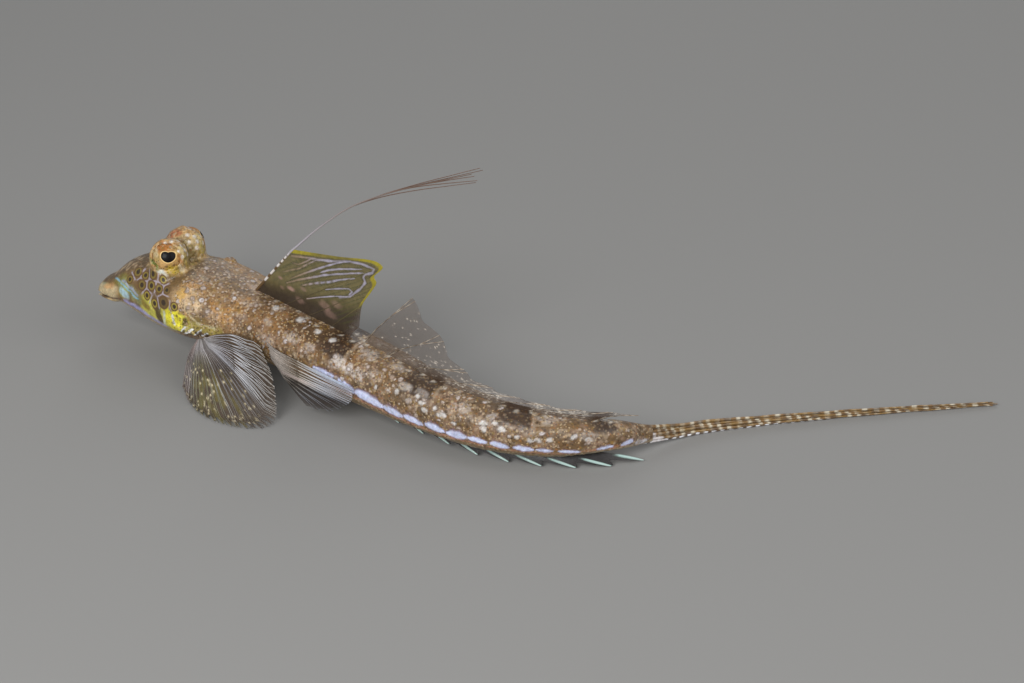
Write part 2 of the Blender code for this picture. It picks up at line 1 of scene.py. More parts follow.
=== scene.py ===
# %% [markdown]
# # A dragonet at rest
# A dragonet is a small bottom-living sea fish: a low wedge of a head with its eyes on
# top, a long tapering body, and big fins on which it rests.  This lesson dresses its
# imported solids, which give the true outline and size.  It could be sculpted by hand;
# here everything is built from tables and simple rules, so that each measure can be read,
# changed and run again.  The solids are loaded first, as a fixed frame that every piece
# has to fit.

# %% Load the frame
import json
import bpy
import bmesh
import numpy as np
from math import pi, radians
from mathutils import Matrix, Vector

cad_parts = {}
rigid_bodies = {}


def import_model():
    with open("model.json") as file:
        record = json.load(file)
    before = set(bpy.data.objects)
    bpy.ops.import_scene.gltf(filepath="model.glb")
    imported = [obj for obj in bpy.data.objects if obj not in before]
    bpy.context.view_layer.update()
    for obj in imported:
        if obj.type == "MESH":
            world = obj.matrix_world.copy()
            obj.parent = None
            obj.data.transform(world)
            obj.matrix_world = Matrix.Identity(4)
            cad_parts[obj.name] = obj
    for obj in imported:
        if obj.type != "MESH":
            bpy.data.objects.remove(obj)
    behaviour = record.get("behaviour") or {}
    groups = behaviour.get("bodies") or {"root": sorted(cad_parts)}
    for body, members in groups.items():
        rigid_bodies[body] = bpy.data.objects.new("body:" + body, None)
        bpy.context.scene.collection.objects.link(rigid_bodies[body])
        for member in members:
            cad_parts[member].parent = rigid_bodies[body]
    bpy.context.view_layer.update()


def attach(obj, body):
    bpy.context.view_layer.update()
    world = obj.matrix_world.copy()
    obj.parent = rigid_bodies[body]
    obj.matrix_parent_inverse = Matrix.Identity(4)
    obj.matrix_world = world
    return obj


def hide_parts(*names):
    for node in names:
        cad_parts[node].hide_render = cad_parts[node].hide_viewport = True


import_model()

MM = 0.001
SEED = 7

# %% [markdown]
# ## The bent axis
# The resting fish lies in a shallow bend.  It could be modelled straight and bent by a
# modifier, but then its markings and fins would have to be bent as well.  So every place
# is given as a station (the distance along the axis in millimetres), a side and a height
# above the axis, and one function turns these into a place in the world.  The tables are
# those of the solids, with only the end of the stalk drawn out finer, so what is placed
# by them sits where the solids sit.

# %% Smooth tables
def through(table):
    """A smooth curve through a table of (station, value)."""
    stations = np.array([row[0] for row in table], float)
    values = np.array([row[1] for row in table], float)
    slopes = np.gradient(values, stations)

    def curve(x):
        x = np.clip(np.asarray(x, float), stations[0], stations[-1])
        i = np.clip(np.searchsorted(stations, x, side="right") - 1, 0, len(stations) - 2)
        step = stations[i + 1] - stations[i]
        t = (x - stations[i]) / step
        start = ((2 * t ** 3 - 3 * t ** 2 + 1) * values[i]
                 + (t ** 3 - 2 * t ** 2 + t) * step * slopes[i])
        end = ((3 * t ** 2 - 2 * t ** 3) * values[i + 1]
               + (t ** 3 - t ** 2) * step * slopes[i + 1])
        return start + end
    return curve


def step_up(x, low, high):
    """0 below low, 1 above high, smooth between."""
    t = np.clip((np.asarray(x, float) - low) / (high - low), 0, 1)
    return t * t * (3 - 2 * t)


print("half way up a smooth step:", float(step_up(0.5, 0, 1)))

# %% The axis and the body's sections
SNOUT = (-69.5, 21.8)
AXIS_TURN = ((0, -14), (8, -20), (16, -27), (24, -33), (32, -38.5), (40, -39), (50, -38.5),
             (60, -41.5), (70, -33.5), (80, -15), (90, 8), (96, 27), (102, 36), (110, 22.5),
             (118, 13), (125, 11.5), (140, 9.5), (160, 8.5))
AXIS_HEIGHT = ((0, 7.9), (3, 8.6), (5, 9.1), (8, 9.5), (12, 9.7), (21, 9.8), (30, 9.2), (46, 7.6),
               (58, 6.7), (70, 6.0), (84, 5.2), (95, 4.3), (100, 3.0), (105, 1.9), (112, 1.2),
               (125, 0.85), (140, 0.65), (160, 0.35))
HALF_WIDTH = ((0, 1.2), (1, 2.1), (3, 2.9), (5, 3.7), (8, 5.0), (12, 6.5), (16, 7.7), (20, 8.4),
              (24, 8.1), (29, 7.2), (36, 6.5), (45, 6.0), (52, 5.6), (59, 5.1), (68, 4.5),
              (75, 4.1), (81, 3.7), (87, 3.2), (92, 2.5), (96, 1.75), (99, 0.9), (102, 0.4))
RISE = ((0, 0.9), (1, 1.7), (3, 2.6), (5, 3.9), (8, 5.2), (12, 5.8), (16, 5.6), (20, 5.3),
        (24, 4.9), (29, 4.5), (36, 4.5), (45, 4.6), (52, 4.5), (59, 4.3), (68, 3.9), (75, 3.7),
        (81, 3.4), (87, 2.9), (92, 2.4), (96, 2.1), (99, 1.75), (102, 1.35))
DROP = ((0, 0.8), (1, 1.2), (3, 1.8), (5, 2.1), (8, 3.4), (12, 4.7), (16, 5.1), (20, 5.2),
        (24, 4.9), (29, 4.5), (36, 4.4), (45, 4.5), (52, 4.4), (59, 4.2), (68, 3.8), (75, 3.6),
        (81, 3.3), (87, 2.8), (92, 2.3), (96, 2.0), (99, 1.6), (102, 1.2))
ROUND_BACK = 2.2         # powers of the sections' curves: 2 is an ellipse, more is squarer
ROUND_BELLY = 2.7
STALK_END = 95.0         # the last station of flesh in the solids, and the tail fin's tip
TAIL_TIP = 157.5

turn_at = through(AXIS_TURN)
height_at = through(AXIS_HEIGHT)
half_width = through(HALF_WIDTH)
rise = through(RISE)
drop = through(DROP)

AXIS_STEP = 0.25
AXIS_S = np.arange(0, 160 + AXIS_STEP, AXIS_STEP)
AXIS_YAW = np.radians(turn_at(AXIS_S))
AXIS_LEVEL = np.sqrt(1 - np.gradient(height_at(AXIS_S), AXIS_S) ** 2)
AXIS_X, AXIS_Y = (
    begin + AXIS_STEP * np.concatenate([[0], np.cumsum(part(AXIS_YAW) * AXIS_LEVEL)[:-1]])
    for begin, part in zip(SNOUT, (np.cos, np.sin)))
print("axis tables:", len(AXIS_TURN), "turns,", len(AXIS_HEIGHT), "heights")


# %% Places on the axis and on the skin
def place(s, side, up):
    """World place, in millimetres, of a point at station s, to the fish's left, above the axis."""
    s, side, up = np.broadcast_arrays(np.asarray(s, float), side, up)
    yaw = np.interp(s, AXIS_S, AXIS_YAW)
    x = np.interp(s, AXIS_S, AXIS_X) + side * np.sin(yaw)
    y = np.interp(s, AXIS_S, AXIS_Y) - side * np.cos(yaw)
    return np.stack([x, y, height_at(s) + up], axis=-1)


BATCH = 4000             # points measured at a time, to spare memory


def unplace(points):
    """Station, side and height above the axis of world points in millimetres."""
    axis = np.stack([AXIS_X, AXIS_Y], axis=-1)
    nearest = np.empty(len(points), int)
    for i in range(0, len(points), BATCH):
        gap = points[i:i + BATCH, None, :2] - axis[None]
        nearest[i:i + BATCH] = np.argmin((gap ** 2).sum(-1), axis=1)
    yaw = AXIS_YAW[nearest]
    away = points[:, :2] - axis[nearest]
    ahead = away[:, 0] * np.cos(yaw) + away[:, 1] * np.sin(yaw)
    s = AXIS_S[nearest] + ahead / np.maximum(AXIS_LEVEL[nearest], 0.8)
    side = away[:, 0] * np.sin(yaw) - away[:, 1] * np.cos(yaw)
    return s, side, points[:, 2] - height_at(s)


def skin_point(s, angle, out=0.0):
    """Side and height of the body's surface at an angle above the left flank, in degrees."""
    a = np.radians(angle)
    c, n = np.cos(a), np.sin(a)
    power = 2 / np.where(n >= 0, ROUND_BACK, ROUND_BELLY)
    side = (half_width(s) + out) * np.sign(c) * np.abs(c) ** power
    up = (np.where(n >= 0, rise(s), drop(s)) + out) * np.sign(n) * np.abs(n) ** power
    return side, up


def on_skin(s, angle, out=0.0):
    """World place of a point on the skin, or a little out from it."""
    side, up = skin_point(s, angle, out)
    return place(s, side, up)


print("axis from", place(0, 0, 0).round(1), "to", place(TAIL_TIP, 0, 0).round(1))

# %% [markdown]
# ## Mesh helpers
# Three shapes make nearly all of the fish: rings of points for a body, a ball, and a path
# with radii for a rod.  Shapes edited by hand would do for one lip or eye, but a helper
# makes each piece one line.  A Boolean with a whole collection joins or cuts many pieces
# at once.  Lengths stay in millimetres until a mesh is made, when they become metres.

# %% Rings and balls
def link(name, data):
    """An object in the scene for a mesh, curve, light or camera."""
    obj = bpy.data.objects.new(name, data)
    bpy.context.scene.collection.objects.link(obj)
    return obj


def face_outwards(mesh, merge=False):
    """Turn all faces outwards, after merging doubled points if asked."""
    work = bmesh.new()
    work.from_mesh(mesh)
    if merge:
        bmesh.ops.remove_doubles(work, verts=work.verts, dist=1e-6)
    bmesh.ops.recalc_face_normals(work, faces=work.faces)
    work.to_mesh(mesh)
    work.free()


def new_mesh_object(name, vertices, faces):
    """A mesh object from points in millimetres, its faces turned outwards."""
    mesh = bpy.data.meshes.new(name)
    mesh.from_pydata([tuple(float(c) * MM for c in v) for v in vertices], [], faces)
    face_outwards(mesh)
    return link(name, mesh)


def loft(name, rings):
    """A closed body through rings of points, with flat ends."""
    rings = np.asarray(rings)
    count, around = rings.shape[:2]
    faces = [tuple(reversed(range(around))), tuple(range((count - 1) * around, count * around))]
    for i in range(count - 1):
        for j in range(around):
            k = (j + 1) % around
            low, high = i * around, (i + 1) * around
            faces.append((low + j, low + k, high + k, high + j))
    return new_mesh_object(name, rings.reshape(-1, 3), faces)


def ball(name, centre, radii, turn=0.0, segments=32, rings=20):
    """An ellipsoid in millimetres, its long axis turned about Z."""
    mesh = bpy.data.meshes.new(name)
    work = bmesh.new()
    bmesh.ops.create_uvsphere(work, u_segments=segments, v_segments=rings, radius=1.0)
    work.to_mesh(mesh)
    work.free()
    size = Matrix.Diagonal((radii[0] * MM, radii[1] * MM, radii[2] * MM, 1.0))
    mesh.transform(Matrix.Translation(Vector(centre) * MM) @ Matrix.Rotation(turn, 4, "Z") @ size)
    return link(name, mesh)


print("helpers ready for closed meshes")


# %% Paths, rods and Booleans
def path_curve(name, paths):
    """A curve object with one poly spline for each list of (point, radius), in millimetres."""
    curve = bpy.data.curves.new(name, "CURVE")
    curve.dimensions = "3D"
    for path in paths:
        spline = curve.splines.new("POLY")
        spline.points.add(len(path) - 1)
        for knot, (point, radius) in zip(spline.points, path):
            knot.co = (*(float(c) * MM for c in point), 1.0)
            knot.radius = float(radius)
    return link(name, curve)


def as_mesh(obj, name):
    """A plain mesh object from an object as its modifiers show it; the source is removed."""
    bpy.context.view_layer.update()
    evaluated = obj.evaluated_get(bpy.context.evaluated_depsgraph_get())
    mesh = bpy.data.meshes.new_from_object(evaluated)
    bpy.data.objects.remove(obj)
    return link(name, mesh)


def rod(name, points, radii, resolution=3):
    """A round tapering rod with closed ends."""
    obj = path_curve(name + "_path", [list(zip(points, radii))])
    obj.data.bevel_depth = MM
    obj.data.bevel_resolution = resolution
    obj.data.use_fill_caps = True
    made = as_mesh(obj, name)
    face_outwards(made.data, merge=True)
    return made


def combine(obj, pieces, operation):
    """Join pieces to an object, or cut them from it, and remove the pieces."""
    group = bpy.data.collections.new(obj.name + "_" + operation.lower())
    bpy.context.scene.collection.children.link(group)
    for piece in pieces:
        bpy.context.scene.collection.objects.unlink(piece)
        group.objects.link(piece)
    boolean = obj.modifiers.new(operation.lower(), "BOOLEAN")
    boolean.operation = operation
    boolean.operand_type = "COLLECTION"
    boolean.collection = group
    boolean.solver = "EXACT"
    made = as_mesh(obj, obj.name)
    for piece in list(group.objects):
        bpy.data.objects.remove(piece)
    bpy.data.collections.remove(group)
    return made


# %% [markdown]
# ## The body under the skin
# Under its skin the head has hoods that carry the eyes, lips, nostrils, a small gill
# opening high behind the head, and a hooked spine behind each cheek.  They could be
# pulled out of one mesh by sculpting.  Here each is a simple closed piece, joined to a
# loft of rounded sections or cut from it, because closed pieces join cleanly and keep
# their sizes.

# %% Hoods and lids
EYE_STATION = 14.1
EYE_SIDE = 2.4
EYE_HEIGHT = 6.85
EYE_RADIUS = 2.35
EYE_LOOK = (0.35, 0.86, 0.36)    # the line of sight: tailward, outwards and up
EYE_STAND = 0.9                  # how far the ball's middle stands out along it
HEAD_TURN = float(np.interp(EYE_STATION, AXIS_S, AXIS_YAW))
# the hood as (height above the ball, radius)
HOOD = ((-4.6, 4.2), (-3.8, 3.9), (-3.0, 3.5), (-2.2, 3.22), (-1.2, 3.05), (0, 3.0), (0.6, 2.93),
        (1.1, 2.8), (1.5, 2.6), (1.9, 2.33), (2.2, 2.05), (2.5, 1.66), (2.75, 1.2), (2.9, 0.8),
        (2.98, 0.3))
HOOD_STRETCH = 1.06
LID_RADIUS = 2.55
LID_THICK = 0.3
LID_AHEAD = 0.45
SOCKET_ROOM = 0.04


def along_look(hand, reach):
    """A point on the eye's line of sight, measured from the middle of its hood."""
    return place(EYE_STATION + EYE_LOOK[0] * reach, hand * (EYE_SIDE + EYE_LOOK[1] * reach),
                 EYE_HEIGHT + EYE_LOOK[2] * reach)


def look_turn(hand):
    """The turn that brings +Z onto the eye's line of sight."""
    facing = Vector(along_look(hand, 1) - along_look(hand, 0)).normalized()
    return facing.to_track_quat("Z", "Y").to_matrix().to_4x4()


def eye_hood(hand, around=48):
    """The hood of one eye, flared where it stands on the head."""
    heights = through(HOOD)
    rings = []
    for height in [row[0] for row in HOOD]:
        a = np.linspace(0, 2 * pi, around, endpoint=False)
        radius = float(heights(height))
        rings.append(place(EYE_STATION + HOOD_STRETCH * radius * np.cos(a),
                           hand * EYE_SIDE + radius * np.sin(a), EYE_HEIGHT + height))
    return loft("hood", rings)


def lid_ring(hand):
    """The lid as a torus facing along the eye's line of sight."""
    bpy.ops.mesh.primitive_torus_add(major_segments=64, minor_segments=16,
                                     major_radius=LID_RADIUS * MM, minor_radius=LID_THICK * MM)
    obj = bpy.context.object
    middle = Vector(along_look(hand, EYE_STAND + LID_AHEAD)) * MM
    obj.data.transform(Matrix.Translation(middle) @ look_turn(hand))
    return obj


print("eyes look along", EYE_LOOK, "from station", EYE_STATION)


# %% Lips and cheek spines
def lip(level, front, corner, radius, sunk):
    """A lip as a rod round the front of the snout, its ends sunk in at the corners of the mouth."""
    points, radii = [], []
    for t in np.linspace(-1, 1, 41):
        s = front + (corner - front) * (1 - np.cos(0.5 * pi * t)) ** 0.9
        side = (half_width(s) - sunk - 0.5 * t ** 4) * np.sign(t) * abs(np.sin(0.5 * pi * t)) ** 0.8
        points.append(place(s, side, level - 0.35 * t ** 2))
        radii.append(radius * (1 - 0.6 * t ** 4))
    return rod("lip", points, radii)


SPINE_ENDS = (18.8, 24.2)        # stations of the cheek spine's root and tip
SPINE_OUT = ((18.8, -0.5), (20.2, 0.05), (21.5, 0.45), (24.2, 0.75))
SPINE_RADII = (0.7, 0.12)
BARBS = (21.4, 22.5, 23.4)


def cheek_spine(hand):
    """The long backward spine behind the cheek, and the small barbs on its upper edge."""
    stations = np.linspace(*SPINE_ENDS, 12)
    outs = np.interp(stations, *zip(*SPINE_OUT))
    radii = np.interp(stations, SPINE_ENDS, SPINE_RADII)
    line = 90 - hand * (90 + 12)
    spine = [on_skin(s, line, out) for s, out in zip(stations, outs)]
    pieces = [rod("spine", spine, radii)]
    for k, s in enumerate(BARBS):
        base = on_skin(s, line, 0.4 + 0.1 * k)
        tip = on_skin(s - 0.3, 90 - hand * (90 + 4), 0.65 + 0.1 * k)
        pieces.append(rod("barb", [base, 0.5 * (base + tip), tip], [0.26, 0.2, 0.06]))
    return pieces


# %% Join and cut the body
SECTION_END = 101.2              # the flesh runs on, pinched, into the root of the tail fin
AROUND = 96
body_stations = np.concatenate([np.linspace(0, 8, 30)[:-1], np.linspace(8, SECTION_END, 174)])
body_angles = np.linspace(0, 360, AROUND, endpoint=False)
flesh = loft("flesh", [on_skin(s, body_angles) for s in body_stations])
add = [lip(level=0.1, front=0.55, corner=5.2, radius=0.78, sunk=0.3),
       lip(level=-0.95, front=1.5, corner=5.0, radius=0.6, sunk=0.4)]
cut = [ball("mouth", place(2.1, 0, -0.62), (3.2, 3.7, 0.34), float(AXIS_YAW[8]), 48, 16)]
for hand in (1, -1):
    socket_radius = EYE_RADIUS + SOCKET_ROOM
    nose, pore = 90 - hand * 38, 90 - hand * 35
    add += [eye_hood(hand), lid_ring(hand),
            rod("nostril", [on_skin(9.6, nose, out) for out in (-0.5, 0.3)], [0.62, 0.48]),
            ball("gill_rim", on_skin(20.4, pore, 0.1), (1.15, 0.9, 0.5), HEAD_TURN)]
    add += cheek_spine(hand)
    cut += [ball("socket", along_look(hand, EYE_STAND), (socket_radius,) * 3, HEAD_TURN, 48, 32),
            rod("nostril_well", [on_skin(9.6, nose, out) for out in (-0.3, 0.7)], [0.24, 0.3]),
            ball("gill_pore", on_skin(20.7, pore, 0.65), (0.6, 0.5, 0.75), HEAD_TURN)]
flesh = combine(flesh, add, "UNION")
flesh = combine(flesh, cut, "DIFFERENCE")
print("flesh:", len(flesh.data.polygons), "faces before the skin is drawn over it")

# %% [markdown]
# ## One seamless skin
# The joined pieces meet in hard creases that no fish has.  A subdivision surface would
# need a clean cage round all of them.  A voxel remesh needs only a closed shape, and
# draws an even net of small faces over everything; a light smoothing then turns the
# creases into soft flesh.  Each point of the net learns its station and its angle on the
# flank, so that colours can be painted by place.

# %% Draw the skin
SKIN_VOXEL = 0.22


def skin_over(obj):
    """An even, smoothed net over a closed mesh."""
    remesh = obj.modifiers.new("net", "REMESH")
    remesh.mode = "VOXEL"
    remesh.voxel_size = SKIN_VOXEL * MM
    smooth = obj.modifiers.new("soften", "SMOOTH")
    smooth.factor = 0.5
    smooth.iterations = 4
    made = as_mesh(obj, "skin")
    made.data.shade_smooth()
    return made


skin = skin_over(flesh)
count = len(skin.data.vertices)
points = np.empty(count * 3)
skin.data.vertices.foreach_get("co", points)
points = points.reshape(-1, 3) / MM
STATION, SIDE, UP = unplace(points)
HAND = np.where(SIDE >= 0, 1.0, -1.0)
exponent = np.where(UP >= 0, ROUND_BACK, ROUND_BELLY) / 2
flat_part = (np.abs(SIDE) / half_width(STATION)) ** exponent
high_part = (np.abs(UP) / np.where(UP >= 0, rise(STATION), drop(STATION))) ** exponent
ANGLE = np.degrees(np.arctan2(high_part * np.sign(UP), flat_part))
GIRTH = np.radians(1) * np.sqrt((half_width(STATION) ** 2 + rise(STATION) ** 2) / 2)
print("skin:", count, "points,", len(skin.data.polygons), "faces")

# %% [markdown]
# ## Painting by place
# The skin is a map of small marks.  An image could carry them, but it would have to be
# wrapped round the fish and would blur close up.  Here colours are stored on the dense
# net itself, in layers, as a painter would lay them: a ground, soft clouds, then ovals
# and strokes whose sizes are in millimetres on the skin.  Both flanks get the same
# pattern, with the right one shifted a little so that they aren't mirror images.

# %% Brushes
def srgb(red, green, blue):
    """A colour given as on a screen, 0 to 255, turned to linear light."""
    c = np.array([red, green, blue]) / 255
    return np.where(c <= 0.04045, c / 12.92, ((c + 0.055) / 1.055) ** 2.4)


def waves(points, size, seed, octaves=3):
    """Soft random clouds between -1 and 1, of about the given size in millimetres."""
    draw = np.random.default_rng(seed)
    total = np.zeros(len(points))
    for octave in range(octaves):
        for _ in range(7):
            direction = draw.normal(size=3)
            direction /= np.linalg.norm(direction)
            wave = size * draw.uniform(0.7, 1.4) / 2 ** octave
            phase = draw.uniform(0, 2 * pi)
            total += np.sin(points @ direction * 2 * pi / wave + phase) / 2 ** octave
    return np.tanh(total / 4)


print("a screen grey of 128 is", float(srgb(128, 128, 128)[0].round(3)), "in linear light")

# %% Lumps in the flesh
LUMP_HIGH = 0.055        # heights in millimetres of the large and of the small lumps
SMALL_LUMP_HIGH = 0.03
normals = np.empty(count * 3)
skin.data.vertices.foreach_get("normal", normals)
normals = normals.reshape(-1, 3)
lumpy = np.maximum(step_up(STATION, 15, 20), step_up(UP, 5.0, 6.0)) * 0.75 + 0.25
lumpy *= 1 - step_up(STATION, 92, 97)
lift = lumpy * (LUMP_HIGH * waves(points, 1.3, 51, 2)
                + SMALL_LUMP_HIGH * waves(points, 0.8, 52, 1))
skin.data.vertices.foreach_set("co", ((points + normals * lift[:, None]) * MM).ravel())
skin.data.update()
print("lumps up to", float(np.abs(lift).max().round(3)), "mm high")

# %% Washes and ovals on the skin
DRIFT = 0.8              # how far the right flank's pattern is shifted, in millimetres
WANDER = 0.22            # how far edges wander from the plain ovals and strokes
ROW_S = STATION + np.where(HAND > 0, 0.0, DRIFT)
PAINT_S = ROW_S + WANDER * waves(points, 2.2, 11)
PAINT_ANGLE = ANGLE + WANDER * waves(points, 2.2, 12) / GIRTH
COLOUR = np.zeros((count, 3))
GRAIN = np.ones(count)
PEARLS = np.zeros(count)


def wash(colours, mask, tint, strength=1.0):
    """Lay a tint over colours where the mask is 1; a plain tuple is a screen colour."""
    if isinstance(tint, tuple):
        tint = srgb(*tint)
    colours += (tint - colours) * (np.clip(mask, 0, 1) * strength)[:, None]


def lay(mask, tint, strength=1.0):
    """Lay a tint over the skin, where the mask is 1."""
    wash(COLOUR, mask, tint, strength)


def ellipse(ahead, above, long, tall, soft, turn=0.0):
    """A mask from distances along and across, in millimetres; the ellipse turns in degrees."""
    c, n = np.cos(radians(turn)), np.sin(radians(turn))
    distance = np.hypot((ahead * c + above * n) / long, (above * c - ahead * n) / tall)
    return 1 - step_up(distance, 1 - soft, 1 + soft)


def oval(s, angle, long, tall, soft=0.25, turn=0.0):
    """A mask: an oval on both flanks, its half lengths in millimetres, turned in degrees."""
    return ellipse(PAINT_S - s, (PAINT_ANGLE - angle) * GIRTH, long, tall, soft, turn)


print("one degree is", float(GIRTH.max().round(2)), "mm on the widest part")


# %% Strokes and bands
def line_distance(x, y, places, tall=1.0, taper=0.0):
    """Distance from a line through places; tall is millimetres for one of y.

    The taper thins the line's ends.
    """
    best = np.full(len(x), 1e3)
    pieces = len(places) - 1
    for k, ((x0, y0), (x1, y1)) in enumerate(zip(places, places[1:])):
        dx, dy = x - x0, (y - y0) * tall
        ex, ey = x1 - x0, (y1 - y0) * tall
        t = np.clip((dx * ex + dy * ey) / np.maximum(ex ** 2 + ey ** 2, 1e-6), 0, 1)
        ends = 1 - taper * np.abs(2 * (k + t) / pieces - 1) ** 3
        best = np.minimum(best, np.hypot(dx - t * ex, dy - t * ey) / ends)
    return best


def stroke(places, width, soft=0.35):
    """A mask: a line through (station, angle) places, its half width in millimetres."""
    distance = line_distance(PAINT_S, PAINT_ANGLE, places, GIRTH)
    return 1 - step_up(distance / width, 1 - soft, 1 + soft)


def band(values, low, high, soft):
    """A mask: 1 between two values, with soft edges."""
    return step_up(values, low - soft, low + soft) * (1 - step_up(values, high - soft, high + soft))


def paint(marks):
    """Lay marks in turn.

    A stroke is (places, half width, softness, tint, strength), and an oval is
    (station, angle, half length, half height, softness, tint, strength) and its turn, if any.
    """
    for mark in marks:
        if len(mark) == 5:
            *shape, tint, strength = mark
            lay(stroke(*shape), tint, strength)
        else:
            s, angle, long, tall, soft, tint, strength, *turn = mark
            lay(oval(s, angle, long, tall, soft, *turn), tint, strength)


# %% Ground colours of the trunk
SAND = (122, 98, 70)
GOLD = (130, 94, 46)
UMBER = (78, 56, 34)
CREAM = (196, 178, 154)
BELLY = (184, 168, 140)
ROSE = (160, 130, 110)
SADDLE = (58, 40, 26)
DUSK = (92, 74, 54)

COLOUR[:] = srgb(*SAND)
lay(0.5 + 0.5 * waves(points, 8, 1), GOLD, 0.6)
for size, seed, low, high, tint, strength in ((3, 2, 0.0, 0.5, ROSE, 0.55),
                                              (2.2, 4, 0.1, 0.6, UMBER, 0.55),
                                              (1.3, 6, 0.3, 0.8, CREAM, 0.4)):
    lay(step_up(waves(points, size, seed), low, high), tint, strength)
lay(0.5 + 0.5 * waves(points, 5, 9), DUSK, 0.3)
lay(step_up(ANGLE, 55, 80), DUSK, 0.45)
lay(step_up(-ANGLE, 14, 40) * step_up(STATION, 22, 30), BELLY, 0.9)

# a dark smooth band over the shoulder
paint((([(30, 44), (38, 52), (46, 56), (52, 48)], 2.4, 0.6, (138, 98, 50), 0.6),
       ([(40, 62), (46, 62), (50.5, 58)], 1.7, 0.5, UMBER, 0.7)))
print("ground laid on", count, "points")

# %% Saddles with sharp rear edges
SADDLES = ((51.0, 7.0), (67.5, 7.5), (82.2, 6.5), (94.2, 5.0))    # rear edge and length
BARE = np.zeros(count)
for rear, length in SADDLES:
    across = step_up(PAINT_S, rear - length, rear - 0.5 * length)
    across *= 1 - step_up(PAINT_S, rear - 0.18, rear + 0.18)
    saddle = across * step_up(PAINT_ANGLE + 9 * waves(points, 2.6, 3), 24, 44)
    lay(saddle, SADDLE, 0.92)
    GRAIN *= 1 - 0.65 * saddle
    BARE = np.maximum(BARE, saddle)
    lay(band(PAINT_S, rear + 0.2, rear + 0.7, 0.25) * step_up(PAINT_ANGLE, 24, 40), CREAM, 0.35)
print("saddles laid:", len(SADDLES))

# %% Pale patches and round white spots
# patches where the granules stand close: station, angle, half length, half height, strength
PALE_PATCHES = (
    (50.4, 33, 1.5, 1.1, 1.0), (52.6, 31, 1.3, 0.9, 0.9), (54.7, 27, 1.2, 0.9, 1.0),
    (54.3, 71, 1.9, 1.1, 0.5), (57.5, 40, 1.5, 0.9, 0.35), (63, 46, 1.1, 0.8, 0.75),
    (41.2, 39, 1.5, 0.9, 0.6), (44.8, 36, 0.9, 0.8, 0.6), (31, 64, 1.1, 0.9, 0.7),
    (36, 46, 0.8, 0.7, 0.5), (72.4, 49, 1.5, 0.9, 0.5), (77.1, 47, 0.9, 0.7, 0.6),
    (84.4, 72, 1.5, 0.8, 0.6), (90, 24, 1.3, 0.7, 0.4), (37, 15, 1.6, 0.9, 0.4),
    (31, 38, 1.3, 0.9, 0.5), (28.5, 62, 1.2, 0.9, 0.4), (66, 48, 1.2, 0.7, 0.4),
    (60, 75, 1.2, 0.6, 0.5))
for s, angle, long, tall, strength in PALE_PATCHES:
    patch = oval(s, angle, long, tall, 0.35) * step_up(waves(points, 1.1, 33), -0.75, -0.1)
    lay(patch, (212, 202, 194), 0.85 * strength)
    PEARLS = np.maximum(PEARLS, patch * (0.4 + 0.6 * strength))
loose = 0.5 * step_up(waves(points, 3.5, 5), -0.1, 0.5) * step_up(ANGLE, -10, 6)
PEARLS = np.maximum(PEARLS, loose)
PEARLS *= 1 - 0.8 * BARE
BLOBS = (    # station, angle and size of each spot
    (64.5, 21, 0.36), (66.7, 30, 0.42), (65.6, 38, 0.34), (67.3, 15, 0.4), (70.0, 20, 0.5),
    (68.8, 29, 0.3), (72.1, 12, 0.3), (76.0, 27, 0.38), (76.3, 15, 0.34), (78.6, 23, 0.42),
    (77.5, 33, 0.3), (80.7, 13, 0.3), (82.5, 6, 0.3), (83.4, 12, 0.36), (84.9, 14, 0.34),
    (88, 24, 0.36), (90, 14, 0.34), (60.6, 24, 0.3), (35.1, 75, 0.5), (40.2, 75, 0.55),
    (44.4, 70, 0.5), (47.6, 68, 0.45), (58.4, 20, 0.3), (62.2, 30, 0.32))
for s, angle, size in BLOBS:
    far = oval(s, angle, size * 1.25, size, 0.3)
    lay(oval(s, angle, size * 1.7, size * 1.45, 0.3), (96, 72, 48), 0.5)
    lay(far, (222, 218, 214), 0.85)
    GRAIN *= 1 - 0.7 * far
print("pale patches laid:", len(PALE_PATCHES), "and spots:", len(BLOBS), "on each flank")

# %% The row of pearls along the flank
PEARL_ROW = (
    ((46.6, 5), (54.2, -4)), ((54.8, -4), (59.8, -9)), ((60.4, -9), (63.3, -12)),
    ((64.0, -10), (66.8, -13)), ((67.7, -9), (70.3, -12)), ((71.1, -12), (73.6, -10)),
    ((74.3, -10), (76.4, -11)), ((77.3, -10), (79.4, -14)), ((80.4, -13), (82.6, -14)),
    ((83.3, -12), (85.2, -15)), ((86.2, -15), (88.8, -22)), ((91.2, -20), (93.2, -16)),
    ((94.6, -16), (96.6, -6)))
PEARL_WIDTHS = [0.82] * 3 + [0.74] * 3 + [0.6] * 3 + [0.4] * 4
LILAC_LINE = (120, 88, 110)
PEARL_WHITE = (216, 222, 252)
ORANGE_LINE = [(44, -8), (56, -17), (66, -25), (76, -22), (86, -26), (95, -22)]
OLIVE_LINE = [(30, -30), (44, -28), (56, -32), (66, -38), (76, -36), (90, -38)]
paint(((ORANGE_LINE, 0.28, 0.6, (196, 140, 112), 0.8),
       (OLIVE_LINE, 0.7, 0.7, (112, 88, 52), 0.7)))
for places, wide in zip(PEARL_ROW, PEARL_WIDTHS):
    distance = line_distance(ROW_S, ANGLE, places, GIRTH, 0.45)
    distance = distance * (1 + 0.12 * waves(points, 1.2, 13))
    lay(1 - step_up(distance / wide, 0.85, 1.25), LILAC_LINE, 0.6)
    lay(1 - step_up(distance / wide, 0.5, 0.95), PEARL_WHITE)
    GRAIN *= step_up(distance / wide, 0.6, 1.2)
for s in np.arange(27, 95, 2.3):
    lay(oval(s, 84 + 5 * np.sin(s), 0.45, 0.24, 0.5, 20), (215, 205, 190), 0.7)
